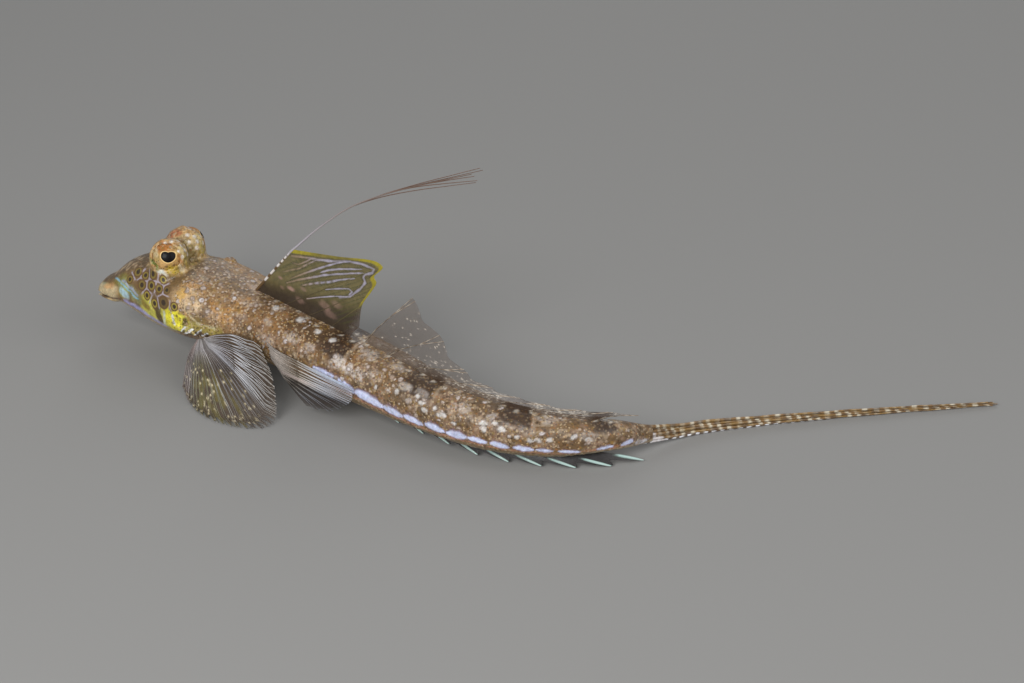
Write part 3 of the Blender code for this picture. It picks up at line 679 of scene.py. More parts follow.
lay(oval(98.4, -28, 1.5, 0.5, 0.4), (226, 224, 232), 0.8)
print("pearl row:", len(PEARL_ROW), "long spots")

# %% The head's ground
head = 1 - step_up(STATION, 17.0, 20.5)
shoulder = band(STATION, 18, 31, 2.5)
warm = step_up(waves(points, 3, 8), 0.1, 0.6)
lay(shoulder * step_up(ANGLE, -14, -2), (158, 124, 84), 0.75)
lay(shoulder * warm * step_up(ANGLE, -8, 4), (182, 132, 66), 0.7)
lay(head, (118, 92, 56))
lay(head * step_up(ANGLE, 46, 62), (100, 80, 54))
nape = band(STATION, 15, 33, 3) * step_up(ANGLE + 8 * waves(points, 3, 14), 60, 84)
lay(nape, (96, 76, 54), 0.7)
# the first, dark oval is painted shade on the top of the back just in front of the sail, where the
# back turns away to its far side
paint(((26.6, 104, 2.0, 1.3, 0.5, (62, 46, 34), 0.85),
       (29.2, 92, 1.3, 0.8, 0.5, (188, 164, 146), 0.6),
       (20.5, 70, 1.9, 0.8, 0.5, (136, 128, 114), 0.6)))
lay(head * step_up(-ANGLE, 16, 28), BELLY)
PEARLS = np.maximum(PEARLS, 0.55 * band(STATION, 19.5, 34, 1.5) * step_up(ANGLE, 4, 22))
PEARLS *= step_up(STATION, 16.5, 19.5)

# the pale cream cheek behind the spots, and olive smudges below it
paint(((20.6, 32, 2.6, 2.4, 0.5, (212, 180, 136), 0.8),
       (22.4, 25, 2.4, 1.4, 0.5, (214, 186, 146), 0.7),
       (19.4, 36, 0.9, 1.5, 0.5, (205, 160, 70), 0.7),
       (24.4, 20, 1.0, 1.3, 0.5, (92, 66, 38), 0.7),
       (23.8, 7, 1.8, 0.8, 0.5, (110, 92, 44), 0.75),
       ([(24, 46), (25.2, 34), (25.4, 24)], 0.35, 0.5, (92, 64, 40), 0.6),
       (34.3, 12, 1.7, 1.0, 0.5, (92, 68, 40), 0.75),
       (30.9, 32, 0.9, 0.7, 0.5, (96, 66, 40), 0.7)))
print("head ground laid on", int(head.sum()), "points")

# %% Yellow throat, dark bars and blue stripes
YELLOW = (234, 222, 56)
LEMON = (206, 200, 84)
BAR = (74, 58, 28)
BLUE = (140, 192, 220)
LILAC = (168, 168, 214)
WHITE_DASH = (236, 240, 236)
paint((([(12.0, -2), (14.0, -8), (17.5, -8), (20.5, -6)], 1.7, 0.35, LEMON, 0.9),
       ([(21.2, -5), (24.2, -5), (28, -5)], 0.75, 0.6, (176, 166, 74), 0.6),
       (18.6, -4, 2.2, 2.0, 0.3, YELLOW, 1.0),
       ([(10.8, 3), (12.2, -2)], 0.5, 0.5, (128, 106, 40), 0.9),
       ([(14.8, 2), (14.8, -6), (15.2, -15)], 0.78, 0.35, BAR, 0.95),
       ([(16.3, -1), (16.1, -18)], 0.28, 0.4, (214, 226, 214), 0.75),
       ([(18.6, -1), (18.9, -7)], 0.24, 0.4, WHITE_DASH, 0.95),
       (21.3, -2, 0.55, 0.6, 0.4, BAR, 0.9),
       ([(21.2, 20), (22.4, 8), (23.6, 1), (27, 0)], 0.16, 0.5, (214, 200, 160), 0.8),
       (5.2, 34, 1.9, 1.0, 0.4, (128, 118, 48), 0.8),
       (6.4, 15, 1.3, 1.3, 0.4, (176, 178, 82), 0.8),
       ([(5.6, 26), (7.8, 12), (9.6, 4)], 0.9, 0.5, (150, 160, 110), 0.6),
       ([(3.8, 46), (5.8, 25), (7.8, 11), (9.6, 3)], 0.2, 0.4, BLUE, 0.9),
       ([(5.9, 33), (7.9, 19), (9.7, 10)], 0.16, 0.4, (166, 178, 204), 0.85),
       (6.3, 5, 1.15, 0.42, 0.4, (186, 220, 232), 0.95, -30),
       (1.6, 46, 1.0, 0.3, 0.5, (170, 180, 146), 0.7, -20),
       ([(6.4, -12), (10, -14), (13.2, -20), (16, -26)], 0.5, 0.5, LILAC, 0.85),
       ([(2.0, 40), (3.4, 20), (4.6, 6)], 0.4, 0.5, (170, 128, 66), 0.6)))

# white dashes on the gill's edge, each over a dark shade: station, angle and rise
GILL_DASHES = ((20.9, -8, 3), (22.2, -9, 4), (23.6, -10, 5), (25.0, -11, 5))
paint([(s + 0.5, angle - 6, 0.5, 0.8, 0.4, (52, 44, 36), 0.75) for s, angle, high in GILL_DASHES])
paint([([(s - 0.6, angle - 8), (s + 0.6, angle + high - 3)], 0.14, 0.3, (236, 240, 246), 0.95)
       for s, angle, high in GILL_DASHES])

# the lips and the line of the mouth
lay(band(PAINT_S, 0.0, 4.6, 0.8) * band(UP, -0.75, 1.4, 0.25), (204, 186, 146), 0.85)
lay(oval(2.6, 30, 1.1, 0.5, 0.5, -15), (216, 160, 98), 0.6)
lay(band(PAINT_S, 0.0, 4.4, 0.8) * band(UP, -2.2, -0.85, 0.2), (204, 178, 130), 0.85)
lay(band(PAINT_S, 0.3, 5.2, 0.4) * band(UP, -0.9, -0.58, 0.1), (92, 62, 42), 0.8)

# forehead flecks
FLECKS = 46
draw = np.random.default_rng(SEED)
for _ in range(FLECKS):
    s, angle = draw.uniform(3.5, 11.0), draw.uniform(56, 96)
    lay(oval(s, angle, 0.34, 0.16, 0.5, draw.uniform(10, 50)), (196, 170, 136), 0.65)
GRAIN *= 0.25 + 0.75 * step_up(STATION, 16.5, 20.0)
print("head painted, with", FLECKS, "flecks on the forehead")

# %% The ringed spots of the cheek
# station, angle, radius in millimetres, and how yellow the ring is
OCELLI = ((7.5, 33, 0.75, 0.5), (9.0, 48, 0.95, 0.4), (10.8, 44, 0.78, 0.5),
          (12.8, 48, 0.88, 0.4), (15.0, 46, 0.70, 0.9), (10.5, 27, 0.92, 0.3),
          (12.8, 31, 0.90, 0.5), (14.6, 31, 0.84, 0.4), (16.3, 34, 0.74, 0.1),
          (12.0, 14, 0.80, 0.9), (14.0, 7, 0.86, 0.9), (16.2, 14, 1.15, 0.0),
          (18.8, 15, 0.86, 0.9))


def spot_fields():
    """Distance to the nearest spot's edge, to the next spot's domain, depth and yellow."""
    near, second, inside = (np.full(count, 9.0) for _ in range(3))
    ring = np.zeros(count)
    for s, angle, radius, yellow in OCELLI:
        distance = np.hypot(ROW_S - s, (ANGLE - angle) * GIRTH)
        edge = distance - radius
        closer = edge < near
        second = np.where(closer, near, np.minimum(second, edge))
        inside = np.where(closer, distance / radius, inside)
        ring = np.where(closer, yellow, ring)
        near = np.minimum(near, edge)
    return near, second - near, inside, ring


SPOT_EDGE, SPOT_BORDER, SPOT_DEPTH, SPOT_YELLOW = spot_fields()
print("ringed spots:", len(OCELLI), "on each cheek")

# %% [markdown]
# ## The hoods and the eyes
# The eyes stand up from the head in hoods that the iris matches in colour.  The eyeball
# could be coloured apart, but its mottle would break off at the lid.  So one colour
# function, in the plane across the line of sight, paints both the skin of the hood and
# the ball, which fills its hood like a marble in a soft cup.

# %% Eye colours
GLANCE_BACK = 0.5        # how far towards the tail, and up, the pupil sits, in millimetres
GLANCE_UP = 0.2


def eye_plane(points, hand):
    """Distance towards the tail and upwards from the pupil, and along the line of sight."""
    middle = along_look(hand, EYE_STAND)
    look = along_look(hand, EYE_STAND + 1) - middle
    look /= np.linalg.norm(look)
    upward = np.array([0.0, 0.0, 1.0]) - look[2] * look
    upward /= np.linalg.norm(upward)
    tailward = np.cross(upward, look) * hand
    away = points - middle
    return away @ tailward - GLANCE_BACK, away @ upward - GLANCE_UP, away @ look


# place towards the tail and up, half lengths, softness, turn, tint, strength
EYE_PATCHES = (
    (-0.6, 1.7, 1.7, 0.85, 0.45, 8, (178, 116, 62), 0.9),
    (-1.3, 1.1, 0.8, 0.7, 0.5, 0, (158, 100, 52), 0.6),
    (2.2, 1.1, 1.3, 1.7, 0.45, 0, (204, 184, 128), 0.85),
    (1.2, 2.4, 1.6, 0.6, 0.5, 0, (206, 168, 110), 0.8),
    (2.7, -0.6, 0.7, 1.2, 0.5, 0, (176, 158, 66), 0.8),
    (1.7, -0.2, 0.5, 0.6, 0.5, 0, (176, 116, 60), 0.8),
    (0.8, -2.2, 1.1, 0.85, 0.4, 0, (196, 168, 52), 0.9),
    (-1.1, -1.3, 0.9, 0.6, 0.5, 0, (200, 160, 104), 0.8),
    (-1.75, -0.3, 0.5, 0.7, 0.5, 0, (170, 150, 96), 0.7),
    (-2.2, 0.5, 0.6, 0.8, 0.5, 0, (214, 196, 152), 0.85),
    (-2.3, -1.3, 1.3, 0.36, 0.4, -45, (122, 142, 60), 0.9),
    (-0.9, -2.7, 1.0, 0.4, 0.4, -40, (212, 216, 206), 0.95),
    (1.9, -1.9, 0.35, 0.8, 0.5, 20, (214, 206, 180), 0.7),
)


def eye_mottle(a, b, ground, colour):
    """Lay the iris and hood patches over a colour array."""
    wash(colour, ground, (188, 148, 92))
    plane = np.stack([a, b, 0 * a], axis=-1)
    ragged_a, ragged_b = a + 0.3 * waves(plane, 1.3, 34), b + 0.3 * waves(plane, 1.3, 35)
    for middle_a, middle_b, long, tall, soft, turn, tint, strength in EYE_PATCHES:
        mask = ellipse(ragged_a - middle_a, ragged_b - middle_b, long, tall, soft, turn)
        wash(colour, mask * ground, tint, strength)


# %% Paint the hoods
# station, side and height of the small white dots behind the eye
HOOD_DOTS = ((15.4, 1.3, 9.3), (16.3, 1.9, 9.0), (16.8, 1.8, 8.3), (17.0, 2.9, 7.6),
             (15.9, 0.8, 8.4), (16.7, 3.2, 8.7), (15.0, 2.7, 9.8), (16.9, 2.4, 6.9),
             (14.2, 3.4, 9.7), (17.0, 1.3, 7.4))
flecks = waves(points, 0.9, 33, 2)
for hand in (1, -1):
    a, b, ahead = eye_plane(points, hand)
    on_hood = (SIDE * hand > -0.3) * step_up(UP, 4.6, 5.6)
    on_hood = on_hood * (1 - step_up(np.abs(STATION - EYE_STATION), 3.2, 4.2))
    inner = np.hypot((STATION - 13.2) / 1.35, (SIDE * hand - 1.15) / 0.8)
    for mask, tint, strength in (
            (1.0, (146, 120, 74), 0.9),
            (step_up(-waves(points, 2.0, 31), 0.0, 0.6), (116, 100, 48), 0.7),
            (step_up(waves(points, 2.4, 32), 0.0, 0.5), (150, 136, 62), 0.5),
            (step_up(UP, 8.3, 9.4), (190, 158, 112), 0.75),
            (step_up(UP, 7.6, 8.6) * (1 - step_up(inner, 0.8, 1.2)), (176, 104, 66), 0.95)):
        lay(on_hood * mask, tint, strength)
    eye_mottle(a, b, on_hood * step_up(ahead, -1.2, 0.2), COLOUR)
    lay(on_hood * step_up(flecks, 0.2, 0.6), (206, 184, 140), 0.45)
    lay(on_hood * step_up(-flecks, 0.25, 0.65), (104, 78, 38), 0.5)
    for s, side, up in HOOD_DOTS:
        away = np.sqrt((STATION - s) ** 2 + (SIDE * hand - side) ** 2 + (UP - up) ** 2)
        lay(on_hood * (1 - step_up(away, 0.22, 0.42)), (226, 220, 212), 0.9)
    GRAIN = np.where(on_hood > 0.5, 0.8, GRAIN)
print("hoods painted, each with", len(HOOD_DOTS), "white dots")

# %% [markdown]
# ## Helpers for materials
# A finish is a tree of nodes.  It could be drawn by hand in the shader editor; built in
# the script, each step is a short call, and the same uneven cells can make specks on the
# skin, granules and the grain of the iris.

# %% Node helpers
def new_material(name):
    """A material with its node tree ready, and its surface shader."""
    material = bpy.data.materials.new(name)
    material.use_nodes = True
    return material, material.node_tree, material.node_tree.nodes["Principled BSDF"]


def add_node(tree, kind, **settings):
    """A node with its settings and, by socket name, its constant inputs."""
    node = tree.nodes.new(kind)
    for key, value in settings.items():
        if key in node.inputs:
            node.inputs[key].default_value = value
        else:
            setattr(node, key, value)
    return node


def attribute(tree, name, output="Fac"):
    """The socket of a named attribute: a number, or with output "Color" a colour."""
    return add_node(tree, "ShaderNodeAttribute", attribute_name=name).outputs[output]


def fill(tree, socket, value):
    """Give a socket a number, a screen colour or the output of another node."""
    if isinstance(value, (int, float)):
        socket.default_value = value
    elif isinstance(value, tuple):
        socket.default_value = (*[float(c) for c in srgb(*value)], 1.0)
    else:
        tree.links.new(value, socket)


def math(tree, operation, *values):
    """A Math node on sockets or numbers."""
    node = add_node(tree, "ShaderNodeMath", operation=operation)
    for socket, value in zip(node.inputs, values):
        fill(tree, socket, value)
    return node.outputs[0]


def times(tree, first, second):
    """The product of two sockets or numbers."""
    return math(tree, "MULTIPLY", first, second)


def fade(tree, value, low, high, start=0.0, end=1.0):
    """Map a value smoothly from low..high to start..end."""
    node = add_node(tree, "ShaderNodeMapRange", interpolation_type="SMOOTHSTEP")
    for key, number in (("Value", value), ("From Min", low), ("From Max", high),
                        ("To Min", start), ("To Max", end)):
        fill(tree, node.inputs[key], number)
    return node.outputs["Result"]


def near_zero(tree, value, low, high):
    """1 where a value is under low, 0 where it is over high."""
    return fade(tree, value, low, high, 1.0, 0.0)


def mix(tree, factor, first, second, blend_type="MIX"):
    """A colour mix of sockets or screen colours."""
    node = add_node(tree, "ShaderNodeMix", data_type="RGBA", blend_type=blend_type)
    for index, value in ((0, factor), (6, first), (7, second)):
        fill(tree, node.inputs[index], value)
    return node.outputs[2]


# %% Noise, cells and clouds
def noise(tree, size_mm, detail=3.0, roughness=0.55, output="Fac"):
    """Soft noise on the piece's own coordinates, its features about a size in millimetres."""
    node = add_node(tree, "ShaderNodeTexNoise", Scale=1 / (size_mm * MM), Detail=detail,
                    Roughness=roughness)
    fill(tree, node.inputs["Vector"], add_node(tree, "ShaderNodeTexCoord").outputs["Object"])
    return node.outputs[output]


def pushed(tree, size_mm, reach_mm):
    """Object coordinates pushed about by noise, so that dots laid on them come out uneven."""
    push = add_node(tree, "ShaderNodeVectorMath", operation="MULTIPLY_ADD")
    fill(tree, push.inputs[0], noise(tree, size_mm, 2.0, 0.6, "Color"))
    push.inputs[1].default_value = (2 * reach_mm * MM,) * 3
    fill(tree, push.inputs[2], add_node(tree, "ShaderNodeTexCoord").outputs["Object"])
    return push.outputs[0]


def cells(tree, size_mm, reach_mm):
    """Uneven cells about a size in millimetres: distance to the middle, and draws for each."""
    node = add_node(tree, "ShaderNodeTexVoronoi", Scale=1 / (size_mm * MM))
    fill(tree, node.inputs["Vector"], pushed(tree, 1.2 * size_mm, reach_mm))
    draw = add_node(tree, "ShaderNodeSeparateColor")
    fill(tree, draw.inputs[0], node.outputs["Color"])
    return node.outputs["Distance"], draw.outputs


def grey(tree, value):
    """A grey colour from one value."""
    node = add_node(tree, "ShaderNodeCombineColor")
    for socket in node.inputs:
        fill(tree, socket, value)
    return node.outputs[0]


def clouded(tree, colour, cloud, strength, contrast, lift):
    """A colour made lighter and darker by a cloud of noise."""
    shade = grey(tree, math(tree, "MULTIPLY_ADD", cloud, contrast, lift))
    return mix(tree, strength, colour, shade, "MULTIPLY")


# %% Bump, finish and stored values
def add_bump(tree, shader, height, strength, distance):
    """Bump from a height, its distance in metres."""
    bump = add_node(tree, "ShaderNodeBump", Strength=strength, Distance=distance)
    fill(tree, bump.inputs["Height"], height)
    fill(tree, shader.inputs["Normal"], bump.outputs["Normal"])


def set_finish(shader, **settings):
    """Constant values of a shader; an underscore in a name stands for a space."""
    for name, value in settings.items():
        shader.inputs[name.replace("_", " ")].default_value = value


def store(obj, name, values):
    """A float for each point of a mesh, for its material to read."""
    layer = obj.data.attributes.new(name, "FLOAT", "POINT")
    layer.data.foreach_set("value", np.asarray(values, np.float32))


def store_colour(obj, colours):
    """A colour for each point of a mesh, for its material to read as "paint"."""
    layer = obj.data.color_attributes.new("paint", "FLOAT_COLOR", "POINT")
    rgba = np.ones((len(colours), 4), np.float32)
    rgba[:, :3] = np.clip(colours, 0, 1)
    layer.data.foreach_set("color", rgba.ravel())


# %% [markdown]
# ## The skin's finish
# A dragonet has no scales but a tough, slimy skin.  What is too small to paint could be
# mesh, but at a fifth of a millimetre that would take millions of faces.  Over the
# painted colours the shader adds it instead: round granules where the patches are pale,
# golden and dark specks, the crisp rings of the cheek spots and the lilac net between
# them.

# %% Specks and granules
# each size of grain with its dark, orange and cream tints
GRITS = ((0.34, ((52, 36, 22), (170, 112, 50), (214, 190, 150))),
         (0.55, ((70, 50, 30), (150, 120, 58), (196, 172, 140))))
GRIT_REACH = 0.1


def grit(tree, colour, amount):
    """Dark, orange and cream grains in uneven cells; also where the bright grains are."""
    for size, tints in GRITS:
        distance, draw = cells(tree, size, GRIT_REACH)
        grain = times(tree, near_zero(tree, distance, 0.28, 0.6), amount)
        for tint, which, edge, strength in zip(tints, draw, (0.66, 0.74, 0.76), (0.6, 0.55, 0.6)):
            sparkle = times(tree, grain, fade(tree, which, edge, edge + 0.12))
            colour = mix(tree, times(tree, sparkle, strength), colour, tint)
    return colour, sparkle


def pale_dots(tree, colour, pearls):
    """Small pale dots, more of them where the pearls are; also where they are."""
    distance, draw = cells(tree, 0.62, 0.12)
    chosen = fade(tree, math(tree, "ADD", draw[0], pearls), 1.02, 1.10)
    dot = times(tree, near_zero(tree, distance, 0.24, 0.5), chosen)
    tint = mix(tree, draw[1], (170, 140, 112), (214, 198, 184))
    return mix(tree, times(tree, dot, 0.75), colour, tint), dot


def granules(tree, colour, pearls):
    """Round pale granules with dark rims; also where they are."""
    distance, draw = cells(tree, 1.25, 0.22)
    chosen = fade(tree, math(tree, "ADD", draw[0], pearls), 1.02, 1.06)
    body = times(tree, near_zero(tree, distance, 0.22, 0.42), chosen)
    rim = times(tree, near_zero(tree, distance, 0.36, 0.56), chosen)
    colour = mix(tree, times(tree, rim, 0.5), colour, (104, 78, 54))
    pale = mix(tree, draw[1], (178, 154, 132), (236, 230, 232))
    worn = mix(tree, 0.6, pale, (128, 104, 82))
    pale = mix(tree, fade(tree, noise(tree, 0.35, 4.0, 0.7), 0.4, 0.62), worn, pale)
    return mix(tree, times(tree, body, 0.85), colour, pale), body


def ringed_spots(tree, colour):
    """The lilac net, then each spot's brown edge, yellow ring and dark heart."""
    depth = attribute(tree, "spot_depth")
    in_spot = attribute(tree, "spot_on")
    net = times(tree, near_zero(tree, attribute(tree, "spot_border"), 0.12, 0.36), in_spot)
    colour = mix(tree, times(tree, net, 0.85), colour, (176, 166, 178))
    ring_tint = mix(tree, attribute(tree, "spot_yellow"), (108, 86, 46), (158, 140, 54))
    for low, high, tint in ((0.95, 1.15, (104, 76, 44)), (0.74, 0.86, ring_tint),
                            (0.40, 0.54, (60, 45, 30))):
        inside = times(tree, near_zero(tree, depth, low, high), in_spot)
        colour = mix(tree, inside, colour, tint)
    return colour


# %% The skin's material
def skin_material():
    """Painted colour, granules, specks and ringed spots, with a wet sheen."""
    material, tree, shader = new_material("dragonet_skin")
    pearls = attribute(tree, "pearls")
    cloud = noise(tree, 1.1, 6.0, 0.78)
    colour = clouded(tree, attribute(tree, "paint", "Color"), cloud, 0.85, 2.4, -0.22)
    colour, sparkle = grit(tree, colour, attribute(tree, "grain"))
    colour, dot = pale_dots(tree, colour, pearls)
    colour, body = granules(tree, colour, pearls)
    fill(tree, shader.inputs["Base Color"], ringed_spots(tree, colour))

    small = times(tree, math(tree, "ADD", sparkle, dot), 0.5)
    height = math(tree, "ADD", body, times(tree, noise(tree, 0.35), 0.7))
    add_bump(tree, shader, math(tree, "ADD", height, small), 0.8, 0.00016)
    fill(tree, shader.inputs["Roughness"], fade(tree, cloud, 0.2, 0.8, 0.34, 0.55))
    set_finish(shader, Subsurface_Weight=0.08, Subsurface_Radius=(0.6, 0.3, 0.15),
               Subsurface_Scale=0.0006, Coat_Weight=0.25, Coat_Roughness=0.25)
    return material


DEEPEST = 3              # spot distances are cut here, in radii and in millimetres
store_colour(skin, COLOUR)
store(skin, "grain", GRAIN)
store(skin, "pearls", PEARLS)
store(skin, "spot_depth", np.minimum(SPOT_DEPTH, DEEPEST))
store(skin, "spot_border", np.minimum(SPOT_BORDER, DEEPEST))
store(skin, "spot_yellow", SPOT_YELLOW)
store(skin, "spot_on", (1 - step_up(SPOT_EDGE, 0.35, 0.6)) * (UP < 5.4))
skin.data.materials.append(skin_material())
print("skin finished: it reads", [layer.name for layer in skin.data.attributes][-7:])

# %% Eyeballs
EYEBALL = 2.4
# the pupil's outline as (degrees round it, radius in millimetres): a rounded heart
PUPIL = ((0, 1.08), (35, 1.12), (62, 0.9), (90, 0.70), (118, 0.9), (145, 1.12), (180, 1.1),
         (225, 0.92), (270, 0.88), (315, 0.92), (360, 1.08))


def eye_material():
    """A mottled iris with a bright thread of gold round a black pupil, under a wet coat."""
    material, tree, shader = new_material("dragonet_eye")
    depth = attribute(tree, "pupil")
    cloud = noise(tree, 0.8, 5.0, 0.7)
    colour = clouded(tree, attribute(tree, "paint", "Color"), cloud, 0.8, 2.0, 0.0)
    colour, _ = grit(tree, colour, fade(tree, depth, 1.2, 1.7))
    colour = mix(tree, near_zero(tree, depth, 1.09, 1.19), colour, (252, 214, 148))
    colour = mix(tree, near_zero(tree, depth, 0.98, 1.05), colour, (16, 12, 12))
    fill(tree, shader.inputs["Base Color"], colour)
    set_finish(shader, Roughness=0.45, Specular_IOR_Level=0.12, Coat_Weight=0.07,
               Coat_Roughness=0.06)
    return material


def eyeball(name, hand, look):
    """One eyeball, its pupil measured in the plane across the line of sight."""
    eye = ball(name, along_look(hand, EYE_STAND), (EYEBALL,) * 3, HEAD_TURN, 128, 96)
    where = np.empty(len(eye.data.vertices) * 3)
    eye.data.vertices.foreach_get("co", where)
    a, b, ahead = eye_plane(where.reshape(-1, 3) / MM, hand)
    colour = np.zeros((len(a), 3))
    eye_mottle(a, b, np.ones(len(a)), colour)
    around = np.degrees(np.arctan2(b, a)) % 360
    depth = np.hypot(a, b) / through(PUPIL)(around)
    store_colour(eye, colour)
    store(eye, "pupil", np.where(ahead > 0, depth, DEEPEST))
    eye.data.materials.append(look)
    eye.data.shade_smooth()
    return eye


eye_look = eye_material()
eyes = [eyeball("eyeball_left", 1, eye_look), eyeball("eyeball_right", -1, eye_look)]
print("eyeballs:", [eye.name for eye in eyes])

# %% [markdown]
# ## Fins
# A fin is a clear skin held open by rays.  It could be one sheet with painted rays, but
# real rays stand out and catch the light.  So the skin is a thin closed sheet whose shape
# follows the solids, with its colours and its clearness painted on its points, and the
# rays are curves laid in the sheet that split towards the edge.  Geometry Nodes turn them
# all into tapering rods at once.

# %% Sheets
def clear_of_body(s, side, up, margin):
    """Move points that lie in the body, or closer to it than the margin, straight outwards."""
    power = np.where(up >= 0, ROUND_BACK, ROUND_BELLY)
    tall = np.where(up >= 0, rise(s), drop(s)) + margin
    level = (np.abs(side) / (half_width(s) + margin)) ** power + (np.abs(up) / tall) ** power
    grow = np.where((level < 1) & (s < STALK_END + 1), np.maximum(level, 1e-6) ** (-1 / power), 1.0)
    return side * grow, up * grow


SHEET_THICK = 0.07


def fin_points(middle, u, v):
    """World places, in millimetres, of points of a fin."""
    s, side, z = middle(np.asarray(u, float), np.asarray(v, float))
    return place(s, side, z - height_at(s))


def whole(u):
    """The reach of a membrane that goes right to the ends of its rays."""
    return np.ones_like(u)


def fin_sheet(name, middle, reach, across, along):
    """A thin closed sheet; reach(u) is how far the membrane goes, as a share of the ray."""
    u, v = np.meshgrid(np.linspace(0, 1, across), np.linspace(0, 1, along), indexing="ij")
    v = v * reach(u)
    surface = fin_points(middle, u, v)
    normal = np.cross(np.gradient(surface, axis=0), np.gradient(surface, axis=1))
    normal /= np.maximum(np.linalg.norm(normal, axis=-1, keepdims=True), 1e-9)
    half = 0.5 * SHEET_THICK * normal
    vertices = np.concatenate([(surface + half).reshape(-1, 3), (surface - half).reshape(-1, 3)])
    lower = across * along
    i, j = np.meshgrid(np.arange(across - 1), np.arange(along - 1), indexing="ij")
    a = (i * along + j).ravel()
    quads = np.stack([a, a + along, a + along + 1, a + 1], axis=1)
    rim = [k * along for k in range(across)]
    rim += [(across - 1) * along + k for k in range(1, along)]
    rim += [k * along + along - 1 for k in range(across - 2, -1, -1)]
    rim += [k for k in range(along - 2, 0, -1)]
    edge = [(p, p + lower, q + lower, q) for p, q in zip(rim, rim[1:] + rim[:1])]
    faces = quads.tolist() + (lower + quads[:, ::-1]).tolist() + edge
    obj = new_mesh_object(name, vertices, faces)
    obj.data.shade_smooth()
    return obj, np.tile(u.ravel(), 2), np.tile(v.ravel(), 2)


# %% The finish of membranes and rays
def membrane_material():
    """Painted clear skin, wet on both sides."""
    material, tree, shader = new_material("fin_membrane")
    cloud = noise(tree, 0.7, 5.0, 0.7)
    colour = clouded(tree, attribute(tree, "paint", "Color"), cloud, 0.8, 1.6, 0.2)
    fill(tree, shader.inputs["Base Color"], colour)
    fill(tree, shader.inputs["Alpha"], attribute(tree, "cover"))
    set_finish(shader, Roughness=0.35, Subsurface_Weight=0.0)
    add_bump(tree, shader, noise(tree, 0.4), 0.3, 0.00005)
    return material


def ray_material():
    """Translucent bony rays with painted bands."""
    material, tree, shader = new_material("fin_rays")
    fill(tree, shader.inputs["Base Color"], attribute(tree, "paint", "Color"))
    set_finish(shader, Roughness=0.4, Subsurface_Weight=0.15, Subsurface_Radius=(0.5, 0.5, 0.5),
               Subsurface_Scale=0.0003, Coat_Weight=0.2)
    return material


MEMBRANE = membrane_material()
RAY_LOOK = ray_material()
print("fin finishes:", MEMBRANE.name, "and", RAY_LOOK.name)

# %% Rays by Geometry Nodes
TREE_SOCKETS = (("Geometry", "NodeSocketGeometry", "INPUT"),
                ("Thickness", "NodeSocketFloat", "INPUT"),
                ("Sides", "NodeSocketInt", "INPUT"),
                ("Finish", "NodeSocketMaterial", "INPUT"),
                ("Geometry", "NodeSocketGeometry", "OUTPUT"))
TREE_NODES = {"given": "NodeGroupInput", "result": "NodeGroupOutput",
              "profile": "GeometryNodeCurvePrimitiveCircle", "sweep": "GeometryNodeCurveToMesh",
              "radius": "GeometryNodeInputRadius", "realize": "GeometryNodeRealizeInstances",
              "finish": "GeometryNodeSetMaterial"}
TREE_LINKS = (("given", "Sides", "profile", "Resolution"),
              ("given", "Thickness", "profile", "Radius"),
              ("given", "Geometry", "sweep", "Curve"),
              ("profile", "Curve", "sweep", "Profile Curve"),
              ("radius", "Radius", "sweep", "Scale"),
              ("sweep", "Mesh", "realize", "Geometry"),
              ("realize", "Geometry", "finish", "Geometry"),
              ("given", "Finish", "finish", "Material"),
              ("finish", "Geometry", "result", "Geometry"))


def ray_tree():
    """Curves to tapering rods: inputs are the thickness, the sides of a rod and its material."""
    tree = bpy.data.node_groups.new("fin_ray_rods", "GeometryNodeTree")
    names = {}
    for name, kind, way in TREE_SOCKETS:
        socket = tree.interface.new_socket(name, in_out=way, socket_type=kind)
        if way == "INPUT":
            names[name] = socket.identifier
    nodes = {name: tree.nodes.new(kind) for name, kind in TREE_NODES.items()}
    nodes["sweep"].inputs["Fill Caps"].default_value = True
    for source, output, target, socket in TREE_LINKS:
        tree.links.new(nodes[source].outputs[output], nodes[target].inputs[socket])
    return tree, names


RAY_TREE, RAY_INPUTS = ray_tree()
RAY_SIDES = 8


def ray_rods(name, paths):
    """One mesh of rods along paths; each path is (points, radii, colours)."""
    source = path_curve(name + "_paths", [list(zip(points, radii)) for points, radii, _ in paths])
    for spline in source.data.splines:
        spline.use_smooth = True
    rods = source.modifiers.new("rods", "NODES")
    rods.node_group = RAY_TREE
    for key, value in (("Thickness", MM), ("Sides", RAY_SIDES), ("Finish", RAY_LOOK)):
        rods[RAY_INPUTS[key]] = value
    made = as_mesh(source, name)
    colours = [np.repeat(np.asarray(tints), RAY_SIDES, axis=0) for _, _, tints in paths]
    store_colour(made, np.concatenate(colours))
    face_outwards(made.data)
    made.data.shade_smooth()
    return made


print("ray tree:", len(RAY_TREE.nodes), "nodes, inputs", list(RAY_INPUTS))


# %% Where the rays run
def branched(stem, spread, splits):
    """Share of each branch of a ray across the fin, by how far along it is: a function per tip."""
    tips_made = []
    for tip in range(2 ** len(splits)):
        def across(v, tip=tip):
            u = np.full_like(v, stem)
            width = spread
            for level, at in enumerate(splits):
                width = width / 2
                sign = 1 if (tip >> (len(splits) - 1 - level)) & 1 else -1
                u = u + sign * width * np.clip((v - at) / (1 - at), 0, 1) ** 0.8
            return u
        tips_made.append(across)
    return tips_made


WAVES_PER_RAY = 2.2
RAY_FLOOR = 0.12         # the lowest that a ray's middle lies, in millimetres


